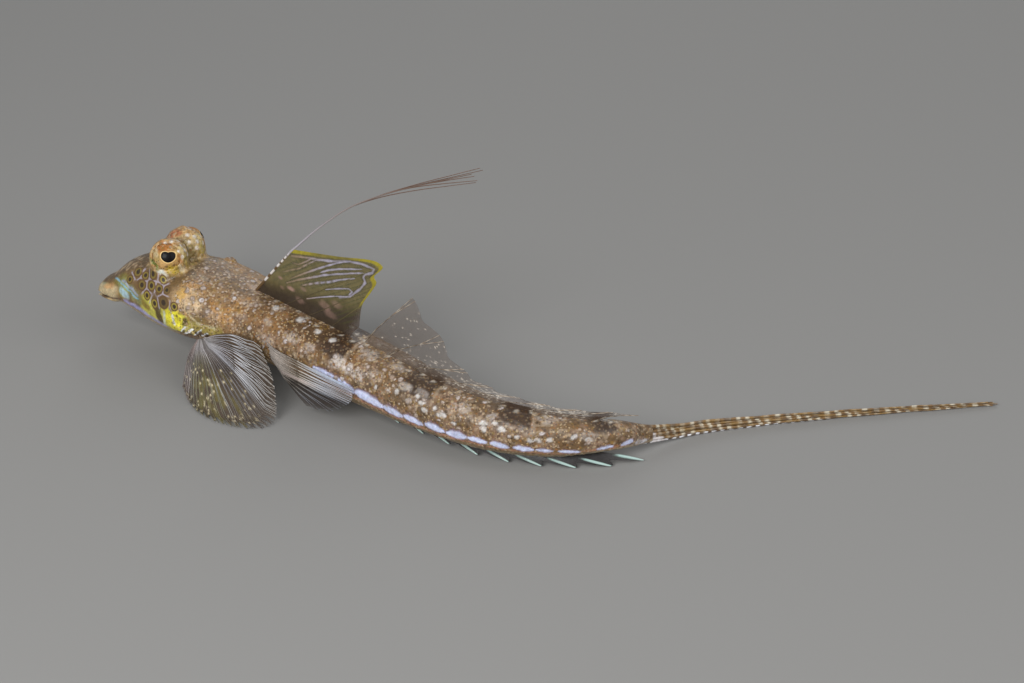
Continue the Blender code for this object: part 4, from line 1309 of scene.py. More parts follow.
def ray_paths(middle, stems, spread, splits, thick, colour, steps=26, wavy=0.0, uneven=0.0):
    """Branched rays in a fin: thick(v) gives the radius, colour(u, v) the paint.

    Uneven makes some rays darker than others.
    """
    paths = []
    draw = np.random.default_rng(SEED)
    for k, stem in enumerate(stems):
        strength = 1 - uneven * draw.uniform()
        phase = draw.uniform(0, 2 * pi)
        for across in branched(stem, spread, splits):
            v = np.linspace(0, 1, steps)
            u = across(v) + wavy * np.sin(2 * pi * WAVES_PER_RAY * v + phase) * v
            points = fin_points(middle, np.clip(u, 0, 1), v)
            points[:, 2] = np.maximum(points[:, 2], RAY_FLOOR)
            paths.append((points, thick(v), colour(u, v) * strength))
    return paths


def between(v, stops):
    """Colours along a line from stops of a place and a screen colour."""
    at, tints = zip(*stops)
    tints = np.stack([srgb(*tint) for tint in tints])
    return np.stack([np.interp(v, at, tints[:, c]) for c in range(3)], axis=-1)


# %% Dots, and a finished fin
def blend(u, table):
    """A smooth value across a fin from a few (u, value) pairs."""
    return through(table)(u)


def from_to(ends, share):
    """A value part of the way from one end to the other."""
    return ends[0] + (ends[1] - ends[0]) * share


def sprinkled(middle, u, v, number, radius, wanted=None):
    """A mask of small round dots, scattered over a fin where wanted(u, v) is true."""
    draw = np.random.default_rng(SEED)
    du, dv = draw.uniform(0.02, 0.98, number), draw.uniform(0.05, 0.95, number) ** 0.7
    if wanted:
        keep = wanted(du, dv)
        du, dv = du[keep], dv[keep]
    sizes = radius * draw.uniform(0.6, 1.3, len(du))
    where, seeds = fin_points(middle, u, v), fin_points(middle, du, dv)
    mask = np.zeros(len(u))
    for seed, size in zip(seeds, sizes):
        away = np.linalg.norm(where - seed, axis=-1) / size
        mask = np.maximum(mask, 1 - step_up(away, 0.6, 1.3))
    return mask


def finish_fin(node, sheet, colour, cover, rays):
    """Paint a fin's sheet and hand it over with its rays, in place of its solid."""
    store_colour(sheet, colour)
    store(sheet, "cover", np.clip(cover, 0, 1))
    sheet.data.materials.append(MEMBRANE)
    for piece in (sheet, rays):
        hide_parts(node)
        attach(piece, "root")
    print(node, "sheet", len(sheet.data.polygons), "faces, rays", len(rays.data.polygons), "faces")

# %% [markdown]
# ## The first dorsal fin
# This sail stands on four spines.  The front one is barred white and brown and runs out
# into a long thread that frays at its end; lilac-white stripes run between the spines and
# meet in a band inside the yellow margin.  The stripes could be raised lines, but on the
# fish they are flat colour, so they are painted by each point's distance from a line.

# %% The sail's outline
D1_ROOT = (29.2, 48.6)
D1_EDGE_STATION = ((0, 37.0), (0.15, 46.3), (0.28, 54.2), (0.32, 55.2), (0.42, 53.5), (0.5, 53.9),
                   (0.65, 52.7), (0.8, 51.0), (1, 50.2))
D1_EDGE_HEIGHT = ((0, 14.1), (0.15, 16.6), (0.28, 18.6), (0.32, 18.3), (0.42, 16.0), (0.5, 15.2),
                  (0.65, 13.0), (0.8, 10.4), (1, 6.4))
D1_SPINES = (0.31, 0.56, 0.8)
FILAMENT = ((37.9, 15.0), (42.6, 19.9), (48.6, 25.3), (54.8, 29.5), (61.8, 33.5), (67.5, 36.4),
            (72.5, 38.8))
STRIPE_WIDE = 0.125
MARGIN_WIDE = 0.55
DASH_PERIOD = 1.25


def first_dorsal_middle(u, v):
    """Station, side and height of the sail, u from front to rear and v from root to edge."""
    root_s = from_to(D1_ROOT, u)
    s = root_s + (blend(u, D1_EDGE_STATION) - root_s) * v
    root_up = rise(root_s) - 0.3
    up = root_up + (blend(u, D1_EDGE_HEIGHT) - root_up) * v
    up = np.maximum(up, rise(s) - 0.3 + 1.3 * v)
    return s, -0.5 * v ** 2 + 0.25 * np.sin(3 * pi * u) * v * (1 - v), up + height_at(s)


# stripes through (station, height above the axis), each with its width and its dashes
STRIPES = (
    (((36.8, 13.0), (40.0, 14.0), (42.7, 14.7), (45.4, 15.5), (49.0, 16.8), (51.6, 17.3),
      (53.6, 17.3), (53.3, 16.6), (51.8, 15.7), (51.5, 15.1), (51.8, 14.4), (50.8, 13.0),
      (48.8, 11.0), (46.6, 10.0)), 1.5, 0.0),
    (((37.1, 12.0), (38.3, 12.2), (40.0, 13.4), (41.0, 14.3)), 0.8, 0.0),
    (((35.1, 9.7), (36.8, 10.7), (38.6, 11.7), (40.3, 13.1), (42.0, 14.4)), 0.9, 0.5),
    (((36.8, 9.3), (39.9, 11.5), (42.0, 12.9), (44.3, 14.4), (46.3, 15.6), (49.0, 16.9)),
     1.0, 0.0),
    (((43.0, 12.8), (44.6, 13.8), (47.0, 14.9), (51.2, 16.4)), 1.0, 0.0),
    (((35.9, 8.2), (38.1, 9.6), (40.5, 10.9), (43.6, 12.6), (46.3, 13.8), (50.2, 15.4),
      (51.6, 15.9)), 1.15, 0.0),
    (((39.1, 9.1), (41.5, 10.4), (43.2, 11.2), (44.9, 12.0), (46.9, 13.1), (49.8, 14.4)),
     1.15, 0.7),
    (((44.0, 10.4), (46.8, 11.6), (48.6, 12.2), (49.2, 11.9), (48.6, 11.2)), 0.95, 0.0),
    (((40.0, 7.2), (42.8, 8.6), (45.5, 9.8), (48.3, 10.8)), 0.8, 0.0),
)
SMUDGES = ((34.5, 8.5, 0.5, 0.32, 0.7), (36.7, 7.6, 0.75, 0.35, 0.75), (34.9, 7.0, 0.4, 0.3, 0.3),
           (39.4, 8.6, 0.6, 0.3, 0.4), (43.7, 7.6, 1.2, 0.7, 0.3), (46.1, 8.6, 1.1, 0.6, 0.3),
           (44.7, 6.6, 1.3, 0.7, 0.25), (38.6, 6.4, 0.9, 0.5, 0.25))
OLIVE = (120, 108, 64)
OLIVE_DARK = (76, 68, 40)
SAIL_BROWN = (62, 51, 41)
STRIPE_ENDS = (srgb(176, 150, 130), srgb(172, 166, 184))    # pink in front, lilac-white behind
MARGIN = (166, 152, 44)
SMUDGE_PINK = (186, 148, 134)


print("sail:", len(STRIPES), "stripes and", len(SMUDGES), "smudges")


# %% The sail's paint
def paint_stripes(colour, s, up):
    """Lay the stripes with their dark edges; returns where they are, and the ragged field."""
    stripes = np.zeros(len(s))
    ragged = waves(np.stack([s, up, 0 * s], axis=-1), 1.3, 61)
    tint = from_to(STRIPE_ENDS, step_up(s, 38, 44)[:, None])
    for places, wide, dashed in STRIPES:
        distance = line_distance(s, up, places, 1.0, 0.3) / (STRIPE_WIDE * wide) + 0.35 * ragged
        gaps = step_up(np.sin(2 * pi * s / DASH_PERIOD), 0.2, 0.5) * (1 - step_up(s, 45, 46))
        lit = (1 - step_up(distance, 0.55, 1.45)) * (1 - dashed * gaps)
        lit = lit * (0.6 + 0.4 * step_up(s, 36.5, 41))
        wash(colour, 1 - step_up(distance, 1.6, 3.8), OLIVE_DARK, 0.45)
        wash(colour, lit, tint, 0.85 - 0.2 * np.clip(ragged, 0, 1))
        stripes = np.maximum(stripes, lit)
    return stripes, ragged


def paint_first_dorsal(u, v):
    """Olive and brown cloth, stripes and their dark edges, a yellow margin and pink smudges."""
    s, _, z = first_dorsal_middle(u, v)
    up = z - height_at(s)
    colour = np.tile(srgb(*OLIVE), (len(u), 1))
    low = 1 - step_up(up - 0.16 * (s - 34), 5.0, 8.6)
    low = np.maximum(low, 1 - step_up(s + 0.4 * up, 33.0, 35.5))
    wash(colour, low, SAIL_BROWN, 0.95)
    wash(colour, 1 - step_up(v, 0.1, 0.35), SAIL_BROWN, 0.6)
    fan = np.sin(2 * pi * 15 * (u + 0.15 * (1 - v)))
    wash(colour, step_up(fan, 0.2, 0.9) * step_up(v, 0.2, 0.5), (84, 84, 40), 0.5)
    stripes, ragged = paint_stripes(colour, s, up)

    edge_s, _, edge_z = first_dorsal_middle(u, np.ones(len(u)))
    from_edge = np.hypot(edge_s - s, edge_z - z) * np.sin(np.radians(38))
    margin = 1 - step_up(from_edge, 0.8 * MARGIN_WIDE, 1.2 * MARGIN_WIDE)
    margin = margin * (1 - step_up(u, 0.74, 0.84))
    dull = band(s, 41, 50, 2) * (1 - step_up(u, 0.25, 0.3))
    wash(colour, margin, MARGIN, 1 - 0.7 * dull)
    for smudge_s, smudge_up, long, tall, strength in SMUDGES:
        far = np.hypot((s - smudge_s) / long, (up - smudge_up) / tall) + 0.25 * ragged
        wash(colour, 1 - step_up(far, 0.5, 1.4), SMUDGE_PINK, strength)
    rear = step_up(s - 0.55 * (up - 6), 47.6, 50.0) * (1 - margin) * (1 - step_up(up, 9.5, 10.5))
    wash(colour, rear, (92, 74, 62), 0.8)
    cover = 0.7 + 0.25 * np.maximum(low, stripes) + 0.2 * margin
    return colour, cover * (1 - 0.55 * rear)


# %% The barred spine and its thread
WHITE_BARS = ((3.8, 0.5), (5.8, 0.62), (7.7, 0.42), (8.9, 0.32), (9.9, 0.3), (10.8, 0.28))


def spine_bars(length):
    """The brown front spine with its white bars, by millimetres from its root."""
    bar = np.zeros_like(length)
    for middle, half in WHITE_BARS:
        bar = np.maximum(bar, band(length, middle - half, middle + half, 0.12))
    colour = np.tile(srgb(104, 80, 50), (len(length), 1))
    wash(colour, bar, (232, 226, 222))
    return colour


THREAD_TINTS = ((0, (214, 208, 214)), (0.25, (186, 180, 188)), (0.5, (156, 144, 140)),
                (0.72, (126, 104, 92)), (1, (112, 90, 76)))
THREAD_RADII = ((0, 0.24), (0.2, 0.18), (0.4, 0.12), (0.6, 0.10), (1, 0.05))
STRAND_TINT = (118, 92, 78)
# where each loose strand leaves the thread, and how far its tip stands from it
STRANDS = ((0.50, (0.6, 0.5, -1.5)), (0.58, (1.2, -0.6, 1.2)), (0.66, (1.6, 0.3, 0.5)),
           (0.74, (0.8, -0.2, -0.9)), (0.82, (0.4, 0.2, -0.4)))
INNER_SPINE = ((0, (70, 58, 42)), (0.5, (90, 80, 50)), (1, (140, 130, 80)))


def sail_rays():
    """The barred front spine with its long frayed thread, and three inner spines."""
    front = fin_points(first_dorsal_middle, np.zeros(7), np.linspace(0, 0.97, 7))
    thread = [place(s, -0.5, up) for s, up in FILAMENT]
    knots = np.concatenate([front, thread])
    t = np.linspace(0, len(knots) - 1, 220)
    smooth = [through([(i, knot[c]) for i, knot in enumerate(knots)])(t) for c in range(3)]
    smooth = np.stack(smooth, axis=-1)
    length = np.linalg.norm(np.diff(smooth, axis=0), axis=1)
    length = np.concatenate([[0], np.cumsum(length)])
    share = length / length[-1]
    colours = between(share, THREAD_TINTS)
    wash(colours, 1 - step_up(share, 0.17, 0.22), spine_bars(length))
    paths = [(smooth, np.interp(share, *zip(*THREAD_RADII)), colours)]
    for leave, away in STRANDS:
        part = share >= leave
        drift = ((share[part] - leave) / (1 - leave)) ** 1.4
        strand = smooth[part] + drift[:, None] * np.array(away)
        paths.append((strand, 0.08 - 0.035 * drift, np.tile(srgb(*STRAND_TINT), (part.sum(), 1))))
    v = np.linspace(0, 1, 60)
    for stem in D1_SPINES:
        points = fin_points(first_dorsal_middle, np.full_like(v, stem), v)
        paths.append((points, 0.09 - 0.05 * v, between(v, INNER_SPINE)))
    return ray_rods("first_dorsal_rays", paths)


sheet, u, v = fin_sheet("first_dorsal_membrane", first_dorsal_middle, whole, 260, 150)
colour, cover = paint_first_dorsal(u, v)
finish_fin("dorsal_fin_first", sheet, colour, cover, sail_rays())

# %% [markdown]
# ## The second dorsal fin
# Nine soft rays, the foremost raised in a clear fan with pale dots, the rest folded low
# along the back.  Each ray could be posed by hand; one table of lifts along the root
# turns the same sheet from raised to folded, and keeps it smooth between the rays.

# %% The clear fan
D2_ROOT = (51.5, 91.0)
D2_LENGTH = ((0, 11.0), (0.3, 9.5), (0.7, 8.0), (1, 8.0))
D2_RAISE = ((0, 56), (0.1, 38), (0.22, 19), (0.4, 10), (0.6, 8), (1, 7))
D2_LEAN = radians(28)
D2_STEMS = np.linspace(0, 1, 9)


def second_dorsal_middle(u, v):
    """Station, side and height of the second dorsal fin."""
    root_s = from_to(D2_ROOT, u)
    lift = np.radians(blend(u, D2_RAISE))
    reach = blend(u, D2_LENGTH) * v
    s = root_s + reach * np.cos(lift)
    high = reach * np.sin(lift)
    side = -np.sin(D2_LEAN) * high
    up = rise(s) - 0.25 + 0.55 * np.minimum(v * 4, 1) + np.cos(D2_LEAN) * high
    return s, side, up + height_at(s)


print("second dorsal fin on", len(D2_STEMS), "rays")


# %% The paint of the clear fan
def frayed(stems, depth):
    """The reach of a membrane that bows in between its rays."""
    def reach(u):
        nearest = np.min(np.abs(np.asarray(u)[..., None] - np.asarray(stems)), axis=-1)
        return 1 - depth * np.minimum(nearest * len(stems) * 2, 1) ** 1.5
    return reach


def paint_second_dorsal(u, v):
    """Clear brown skin with pale dots, and dark bars that carry on the saddles of the back."""
    colour = np.tile(srgb(104, 86, 70), (len(u), 1))
    s, _, _ = second_dorsal_middle(u, v)
    specks = sprinkled(second_dorsal_middle, u, v, 480, 0.085)
    wash(colour, specks, (214, 204, 190))
    dark = np.zeros(len(u))
    for end, length in SADDLES:
        bar = band(s, end - 0.7 * length, end, 1.0) * (1 - step_up(s, end, end + 0.3))
        dark = np.maximum(dark, bar)
    dark = dark * step_up(u, 0.22, 0.4)
    wash(colour, dark, (64, 46, 32))
    cover = 0.2 + 0.25 * (1 - step_up(v, 0.05, 0.35)) + 0.5 * specks * (1 - dark) + 0.5 * dark
    return colour, cover


def second_dorsal_ray_colour(u, v):
    """Six bars between a dark and a pale tint, shifted from ray to ray."""
    colour = np.tile(srgb(128, 106, 84), (len(v), 1))
    wash(colour, 0.5 + 0.5 * np.sin(2 * pi * (6 * v + 5 * u[0])), (196, 184, 166))
    return colour


sheet, u, v = fin_sheet("second_dorsal_membrane", second_dorsal_middle,
                        frayed(D2_STEMS, 0.1), 200, 50)
colour, cover = paint_second_dorsal(u, v)
rays = ray_rods("second_dorsal_rays", ray_paths(
    second_dorsal_middle, D2_STEMS, 0.02, (0.6,), lambda v: 0.09 - 0.05 * v,
    second_dorsal_ray_colour))
finish_fin("dorsal_fin_second", sheet, colour, cover, rays)

# %% [markdown]
# ## The anal fin
# Under the belly hangs a dark curtain, swept back, with pale blue-green ray tips.  A
# plain sheet would nearly do, since most of it lies in shadow, but the tips stand clear,
# so each ray is a thin rod that swells to a lens there.

# %% The dark curtain
ANAL_ROOT = (51.0, 89.5)
ANAL_SWEEP = 8.5
ANAL_TIP_SIDE = ((0, 1.2), (0.25, 1.0), (0.4, 1.0), (0.53, 1.0), (0.66, 1.2), (0.8, 1.6), (1, 2.4))
ANAL_TIP_Z = ((0, 1.1), (0.25, 0.8), (0.4, 0.4), (0.5, 0.3), (1, 0.3))
ANAL_STEMS = np.linspace(0, 1, 9)


def anal_middle(u, v):
    """Station, side and height of the anal fin, which keeps under the belly."""
    root_s = from_to(ANAL_ROOT, u)
    s = root_s + ANAL_SWEEP * v
    root_z = height_at(root_s) - drop(root_s) + 0.35
    tip_z = np.maximum(blend(u, ANAL_TIP_Z), 0.3)
    z = tip_z + (root_z - tip_z) * (1 - v ** 1.3)
    side = blend(u, ANAL_TIP_SIDE) * v ** 1.2
    belly = np.where(s < STALK_END, drop(s), 2.0 - 1.4 * (s - STALK_END) / 6)
    limit = height_at(s) - belly + 0.35 - 0.75 * np.minimum(3 * v, 1)
    return s, side, np.minimum(z, np.maximum(limit, 0.3))


def paint_anal(u, v):
    """Dark skin, with blue-green tips along the rays."""
    colour = np.tile(srgb(50, 46, 46), (len(u), 1))
    nearest = np.min(np.abs(u[:, None] - ANAL_STEMS), axis=-1)
    wide = 0.006 + 0.008 * np.sin(pi * np.clip((v - 0.5) * 2, 0, 1))
    tip = (1 - step_up(nearest / wide, 0.7, 1.3)) * step_up(v, 0.5, 0.6)
    wash(colour, tip, (176, 214, 200))
    return colour, 0.88 - 0.15 * v + 0.2 * tip


def anal_ray_colour(u, v):
    return between(v, ((0, (64, 58, 54)), (0.52, (70, 70, 68)), (0.6, (172, 200, 194)),
                       (1, (196, 220, 214))))


def anal_ray_radius(v):
    """A thin ray whose last part swells to a flat lens."""
    return 0.07 + 0.15 * np.sin(pi * np.clip((v - 0.46) / 0.54, 0, 1)) ** 0.8


sheet, u, v = fin_sheet("anal_membrane", anal_middle, frayed(ANAL_STEMS, 0.26), 240, 40)
colour, cover = paint_anal(u, v)
rays = ray_rods("anal_rays", ray_paths(
    anal_middle, ANAL_STEMS, 0.0, (), anal_ray_radius, anal_ray_colour))
finish_fin("anal_fin", sheet, colour, cover, rays)

# %% [markdown]
# ## The tail fin
# At rest the tail fin is folded, its long rays lying one over another, barred brown and
# cream, the lowest with bright white dashes.  One blade with painted bars would look
# flat, so each ray is a forked rod of its own, and a thin sheet closes the gaps.

# %% The folded bundle
CAUDAL_HALF = through(((95, 2.1), (100, 1.7), (105, 1.35), (112, 1.15), (125, 0.85),
                       (140, 0.65), (157.5, 0.4)))
CAUDAL_RAYS = 7
CAUDAL_RADII = ((94, 0.36), (100, 0.24), (125, 0.16), (157.5, 0.09))
CAUDAL_START = STALK_END - 1.2


def tail_height(s, share):
    """World height of a line of the tail fin, share from -1 at its lower edge to 1."""
    z = height_at(s) + CAUDAL_HALF(s) * share
    floor_line = 0.22 + 0.12 * (share + 1)
    return np.maximum(z, floor_line)


def caudal_middle(u, v):
    """Station, side and height of the folded tail fin's blade."""
    s = CAUDAL_START + (TAIL_TIP - STALK_END + 1.0) * v
    share = 0.86 * (2 * u - 1)
    return s, 0.12 * np.sin(2.2 * s + 9 * u) * (1 - v), tail_height(s, share)


def caudal_bars(s, row):
    """Brown and cream bars, with wide white blotches near the root."""
    wave = np.sin(2 * pi * s / 1.55 + 0.9 * np.sin(s * 0.83 + 0.5 * row) + 0.45 * row)
    strong = 0.35 + 0.65 * step_up(np.sin(2 * pi * s / 6.7 + 0.9 * row), -0.5, 0.4)
    gold = step_up(np.sin(2 * pi * s / 7.3 + row), 0.2, 0.8)
    dark = step_up(np.sin(2 * pi * s / 4.7 + 2 * row), 0.5, 0.95)
    colour = np.tile(srgb(134, 104, 66), (len(s), 1))
    wash(colour, step_up(wave, -0.2, 0.6) * strong, (208, 198, 176))
    wash(colour, gold, (150, 118, 60), 0.5)
    wash(colour, dark, (88, 68, 52), 0.7)
    if row < 1:
        dash = step_up(np.sin(2 * pi * s / 1.4), -0.1, 0.3) * (1 - step_up(s, 126, 132))
        wash(colour, 1 - dash, (84, 62, 48), 0.7)
        wash(colour, dash, (244, 244, 250))
    wash(colour, band(s + 0.8 * row, 101.0, 104.0, 0.3) * (row < 4), (232, 226, 226), 0.85)
    return colour


def caudal_rays():
    """Seven forked rays lying one over another."""
    paths = []
    for row in range(CAUDAL_RAYS):
        u = row / (CAUDAL_RAYS - 1)
        s = np.linspace(CAUDAL_START, TAIL_TIP - 0.3 - 3.0 * abs(u - 0.45), 300)
        share = 0.8 * (2 * u - 1)
        radii = np.interp(s, *zip(*CAUDAL_RADII)) * (1 + 0.1 * np.sin(2 * pi * s / 0.8))
        for fork in (-1, 1):
            spread = fork * 0.07 * step_up(s, 104, 112)
            side = 0.16 * np.sin(row * 2.4) + 0.05 * fork + 0.06 * np.sin(0.6 * s + row)
            z = tail_height(s, share + spread) + 0.02 * np.sin(1.1 * s + 2 * row)
            points = place(s, side, np.maximum(z, radii + 0.01) - height_at(s))
            paths.append((points, radii, caudal_bars(s, row)))
    return ray_rods("caudal_rays", paths)


sheet, u, v = fin_sheet("caudal_membrane", caudal_middle,
                        lambda u: 0.985 * np.ones_like(u), 20, 320)
colour = caudal_bars(STALK_END + (TAIL_TIP - STALK_END) * v, 2.0) * 0.8
finish_fin("caudal_fin", sheet, colour, np.full(len(u), 0.85), caudal_rays())

# %% [markdown]
# ## The paired fins
# The pectoral fins fold back along the flanks; the big pelvic fans come down from the
# throat and prop the fish on the floor.  They could be cut from flat sheets and bent.
# Here each is ruled from a root on the skin to an edge in the open, which keeps its shape
# in three short tables, and the right fin comes from the same ones with its side turned.

# %% Roots of the paired fins
PECTORAL_ROOT = ((37.0, 38.6), (10, -50))    # stations and angles of the root's two ends
PECTORAL_EDGE_STATION = ((0, 54.7), (0.35, 54.9), (0.6, 53.4), (0.8, 51.0), (1, 46.7))
PECTORAL_EDGE_SIDE = ((0, 6.3), (0.35, 6.6), (0.6, 6.9), (0.8, 7.3), (1, 7.5))
PECTORAL_EDGE_Z = ((0, 7.4), (0.35, 5.5), (0.6, 4.1), (0.8, 2.7), (1, 1.9))
PECTORAL_STEMS = np.array([0.01, 0.07, 0.14, 0.22, 0.29, 0.36, 0.42, 0.49, 0.55, 0.66, 0.79, 0.92])
ROOT_SINK = -0.25        # how deep a fin's root sits in the skin, in millimetres
STAND_OFF = 0.8          # how far the fin has risen from there, a little way out
FIN_FLOOR = 0.3


def root_of(ends, u, v, rise_by):
    """Station, side, height and the least standoff of a paired fin's root."""
    root_s = from_to(ends[0], u)
    out = ROOT_SINK + STAND_OFF * np.minimum(rise_by * v, 1)
    root_side, root_up = skin_point(root_s, from_to(ends[1], u), out)
    return root_s, root_side, root_up + height_at(root_s), out


def clear_fin(s, side, z, out, hand):
    """A fin's points, moved clear of the body and of the floor."""
    side, up = clear_of_body(s, side, z - height_at(s), out)
    return s, hand * side, np.maximum(up + height_at(s), FIN_FLOOR)


print("pectoral fins on", len(PECTORAL_STEMS), "rays each")


# %% Pectoral fins
def pectoral_middle(hand):
    """Station, side and height of a pectoral fin, as a function of u and v."""
    def middle(u, v):
        root_s, root_side, root_z, out = root_of(PECTORAL_ROOT, u, v, 6)
        s = root_s + (blend(u, PECTORAL_EDGE_STATION) - root_s) * v
        side = root_side + (blend(u, PECTORAL_EDGE_SIDE) - root_side) * v + 0.9 * v * (1 - v)
        z = root_z + (blend(u, PECTORAL_EDGE_Z) - root_z) * v ** 1.15
        return clear_fin(s, side, z, out, hand)
    return middle


def paint_pectoral(u, v):
    """Whitish root and lower ridge, a blue gleam above, and painted shade below the ridge, where
    the clear skin lies over the shadow beneath it.
    """
    colour = np.tile(srgb(132, 112, 92), (len(u), 1))
    slant = u + 0.22 * v
    root = (1 - step_up(v, 0.14, 0.4)) * (1 - step_up(slant, 0.62, 0.7))
    blue = (1 - step_up(u, 0.03, 0.1)) * band(v, 0.5, 0.96, 0.1)
    ridge = band(slant, 0.52, 0.64, 0.03) * (1 - step_up(v, 0.45, 0.7))
    # below the ridge the clear skin gets a dark tint: painted shade for the shadow beneath the fin
    below = step_up(slant, 0.64, 0.70)
    for mask, tint in ((root, (206, 194, 184)), (blue, (206, 220, 244)),
                       (ridge, (226, 206, 200)), (below, (60, 48, 42))):
        wash(colour, mask, tint)
    cover = 0.26 + 0.5 * root + 0.35 * blue + 0.5 * ridge + 0.14 * below
    return colour, np.clip(cover * (1 - 0.6 * step_up(v, 0.8, 1.0)), 0, 0.92)


def pectoral_ray_colour(u, v):
    """White rays, with painted shade where they lie below the ridge, over the shadow beneath the
    fin.
    """
    white = between(v, ((0, (222, 212, 204)), (0.4, (204, 194, 180)), (0.7, (212, 218, 230)),
                        (1, (220, 226, 240))))
    # painted shade: the rays below the ridge are darkened over the shadow beneath the fin
    below = step_up(u + 0.22 * v, 0.66, 0.75) * step_up(v, 0.15, 0.4)
    return white * (1 - 0.62 * below)[:, None]


SIDES = (("left", 1), ("right", -1))
for side_name, hand in SIDES:
    middle = pectoral_middle(hand)
    sheet, u, v = fin_sheet("pectoral_membrane_" + side_name, middle,
                            frayed(PECTORAL_STEMS, 0.06), 150, 70)
    colour, cover = paint_pectoral(u, v)
    rays = ray_rods("pectoral_rays_" + side_name, ray_paths(
        middle, PECTORAL_STEMS, 0.05, (0.4,), lambda v: 0.115 - 0.09 * v, pectoral_ray_colour,
        wavy=0.007, uneven=0.4))
    finish_fin("pectoral_fin_" + side_name, sheet, colour, cover, rays)

# %% Pelvic fans
PELVIC_ROOT = ((22.3, 24.2), (-44, -25))
PELVIC_EDGE_STATION = ((0, 23.2), (0.15, 28.0), (0.35, 35.0), (0.5, 40.2), (0.65, 43.6),
                       (0.8, 43.6), (0.9, 41.4), (1, 37.6))
PELVIC_EDGE_SIDE = ((0, 12.0), (0.15, 15.2), (0.35, 17.3), (0.5, 16.6), (0.65, 14.2), (0.8, 11.3),
                    (0.9, 9.5), (1, 8.0))
PELVIC_EDGE_Z = ((0, 0.3), (0.15, 0.3), (0.65, 0.3), (0.8, 1.8), (0.9, 6.0), (1, 9.5))
PELVIC_STEMS = np.concatenate([np.linspace(0.01, 0.52, 13), np.linspace(0.56, 0.76, 6),
                               np.linspace(0.785, 0.99, 15)])
PELVIC_SPREAD = 0.02


def pelvic_middle(hand):
    """Station, side and height of a pelvic fan, as a function of u and v."""
    def middle(u, v):
        root_s, root_side, root_z, out = root_of(PELVIC_ROOT, u, v, 8)
        edge_z = np.maximum(blend(u, PELVIC_EDGE_Z), FIN_FLOOR)
        bow = v * (1 - v)
        s = root_s + (blend(u, PELVIC_EDGE_STATION) - root_s) * v - 1.6 * bow * (1 - u)
        side = root_side + (blend(u, PELVIC_EDGE_SIDE) - root_side) * v + 1.2 * bow * (1 - u)
        upper = np.clip((u - 0.7) / 0.3, 0, 1)
        down = np.minimum(v / 0.86, 1) ** (1.7 - 0.9 * upper)
        z = edge_z + (root_z - edge_z) * (1 - down) + 5 * bow * upper
        return clear_fin(s, side, z, out, hand)
    return middle


def paint_pelvic(u, v, middle):
    """Clear brown skin with yellow clouds and golden specks."""
    colour = np.tile(srgb(98, 80, 64), (len(u), 1))
    cloud = waves(np.stack([30 * u, 12 * v, 0 * u], axis=-1), 3.0, 41)
    centre = band(u, 0.2, 0.62, 0.1) * step_up(v, 0.2, 0.5)
    specks = sprinkled(middle, u, v, 170, 0.19, lambda du, dv: (dv > 0.4) & (du < 0.75))
    root = 1 - step_up(v, 0.1, 0.35)
    wash(colour, centre * step_up(cloud, -0.2, 0.5), (140, 128, 62), 0.7)
    wash(colour, specks, (226, 212, 176))
    wash(colour, root, (176, 160, 148), 0.7)
    upper = step_up(u, 0.75, 0.85) * (1 - step_up(v, 0.5, 0.9))
    return colour, 0.3 + 0.3 * root + 0.5 * specks + 0.1 * centre + 0.15 * upper


def pelvic_ray_colour(u, v):
    """White rays above, duller and yellowish in the middle, pink in front."""
    colour = between(v, ((0, (236, 230, 228)), (0.35, (232, 232, 240)), (0.7, (208, 210, 214)),
                         (1, (180, 174, 166))))
    wash(colour, band(u, 0.54, 0.77, 0.01), (110, 92, 78), 0.55)
    wash(colour, band(u, 0.2, 0.5, 0.1) * step_up(v, 0.1, 0.4), (160, 152, 88), 0.75)
    wash(colour, 1 - step_up(u, 0.1, 0.22), (210, 176, 164), 0.5)
    lower = (1 - step_up(u, 0.74, 0.8)) * step_up(v, 0.2, 0.6)
    return colour * (1 - 0.42 * lower)[:, None]


for side_name, hand in SIDES:
    middle = pelvic_middle(hand)
    sheet, u, v = fin_sheet("pelvic_membrane_" + side_name, middle,
                            frayed(PELVIC_STEMS, 0.10), 170, 80)
    colour, cover = paint_pelvic(u, v, middle)
    rays = ray_rods("pelvic_rays_" + side_name, ray_paths(
        middle, PELVIC_STEMS, PELVIC_SPREAD, (0.5,), lambda v: 0.09 - 0.045 * v,
        pelvic_ray_colour, 40, wavy=0.006, uneven=0.45))
    finish_fin("pelvic_fin_" + side_name, sheet, colour, cover, rays)

# %% [markdown]
# ## Floor, light and camera
# A plain pale floor, soft lights, and a camera that looks down on the left flank from
# the height the fish was seen from.  A sky image could light it, but three soft squares
# are easier to place, and show on the wet skin as broad, calm gleams.

# %% The floor
FLOOR_SIZE = 6.0         # in metres, so that its edge is never seen
FLOOR_COLOUR = (0.30, 0.295, 0.285, 1)


def stage_floor():
    """A plain matt floor."""
    bpy.ops.mesh.primitive_plane_add(size=FLOOR_SIZE)
    floor = bpy.context.object
    floor.name = "floor"
    material, _, shader = new_material("pale_floor")
    set_finish(shader, Base_Color=FLOOR_COLOUR, Roughness=0.9)
    floor.data.materials.append(material)
    return floor


print("floor:", stage_floor().name)

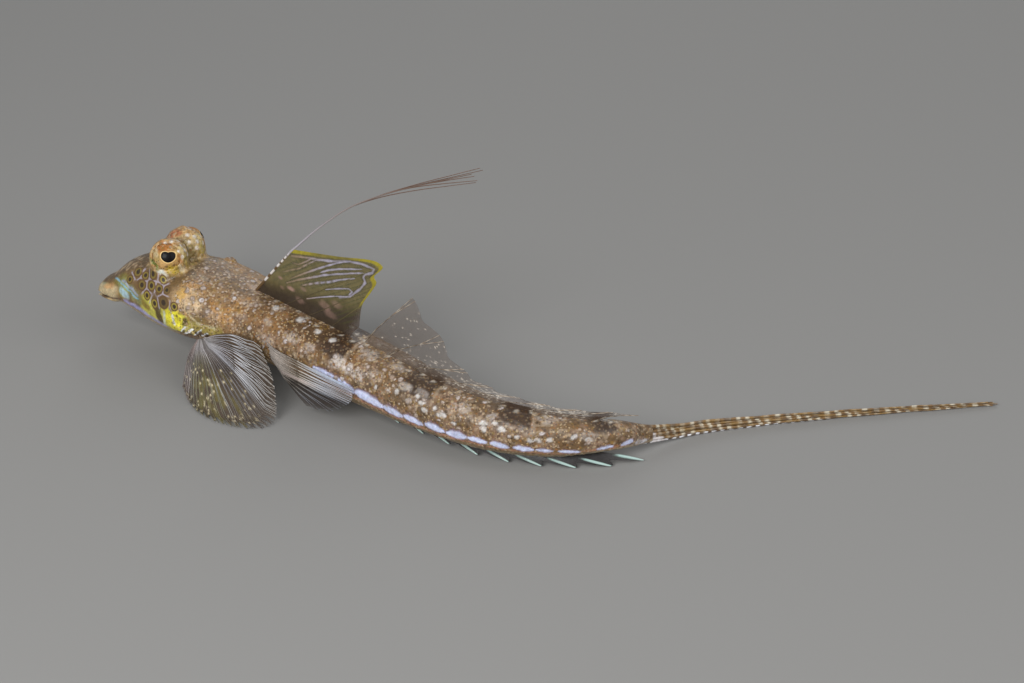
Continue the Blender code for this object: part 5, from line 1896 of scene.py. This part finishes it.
# %% Camera and lights
CAMERA_TARGET = (-3.84, 18.57, 0.0)
CAMERA_ELEVATION = 27.0
CAMERA_DISTANCE = 442.35
CAMERA_LENS = 97.2
# each light's place and size in millimetres, and its power
LIGHTS = {"key_light": ((-220, -420, 320), 260, 2.3),
          "fill_light": ((380, -260, 280), 400, 0.9),
          "back_light": ((50, 400, 300), 300, 0.35)}
SKY_COLOUR = (0.95, 0.97, 1.0, 1)
SKY_STRENGTH = 0.3


def add_camera():
    """The camera, looking down on the left flank."""
    camera = link("camera", bpy.data.cameras.new("camera"))
    e = radians(CAMERA_ELEVATION)
    back = Vector((0, -np.cos(e), np.sin(e)))
    camera.location = (Vector(CAMERA_TARGET) + back * CAMERA_DISTANCE) * MM
    camera.rotation_euler = (-back).to_track_quat("-Z", "Y").to_euler()
    camera.data.lens = CAMERA_LENS
    camera.data.sensor_width = 36.0
    camera.data.clip_start = 0.01
    bpy.context.scene.camera = camera


def area_light(name, place_mm, size_mm, power):
    """A soft square light that faces the fish."""
    light = bpy.data.lights.new(name, "AREA")
    light.energy = power
    light.size = size_mm * MM
    obj = link(name, light)
    obj.location = Vector(place_mm) * MM
    obj.rotation_euler = (-Vector(place_mm)).to_track_quat("-Z", "Y").to_euler()


def add_sky():
    """A faint even light from all round."""
    world = bpy.data.worlds.new("studio")
    bpy.context.scene.world = world
    world.use_nodes = True
    background = world.node_tree.nodes["Background"]
    background.inputs["Color"].default_value = SKY_COLOUR
    background.inputs["Strength"].default_value = SKY_STRENGTH


add_camera()
for name, settings in LIGHTS.items():
    area_light(name, *settings)
add_sky()
bpy.context.scene.view_settings.view_transform = "Standard"
print("lights:", list(LIGHTS))

# %% [markdown]
# ## Handing over
# Each piece takes the place of the solids it stands for, which are hidden, and rides on
# the one body of the part.  The fins did so as they were made; the skin and the eyes
# follow here.

# %% Hand the pieces over
for node in ("head", "trunk_front", "trunk_rear", "tail_stalk"):
    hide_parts(node)
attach(skin, "root")
for eye, node in zip(eyes, ("eye_left", "eye_right")):
    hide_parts(node)
    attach(eye, "root")
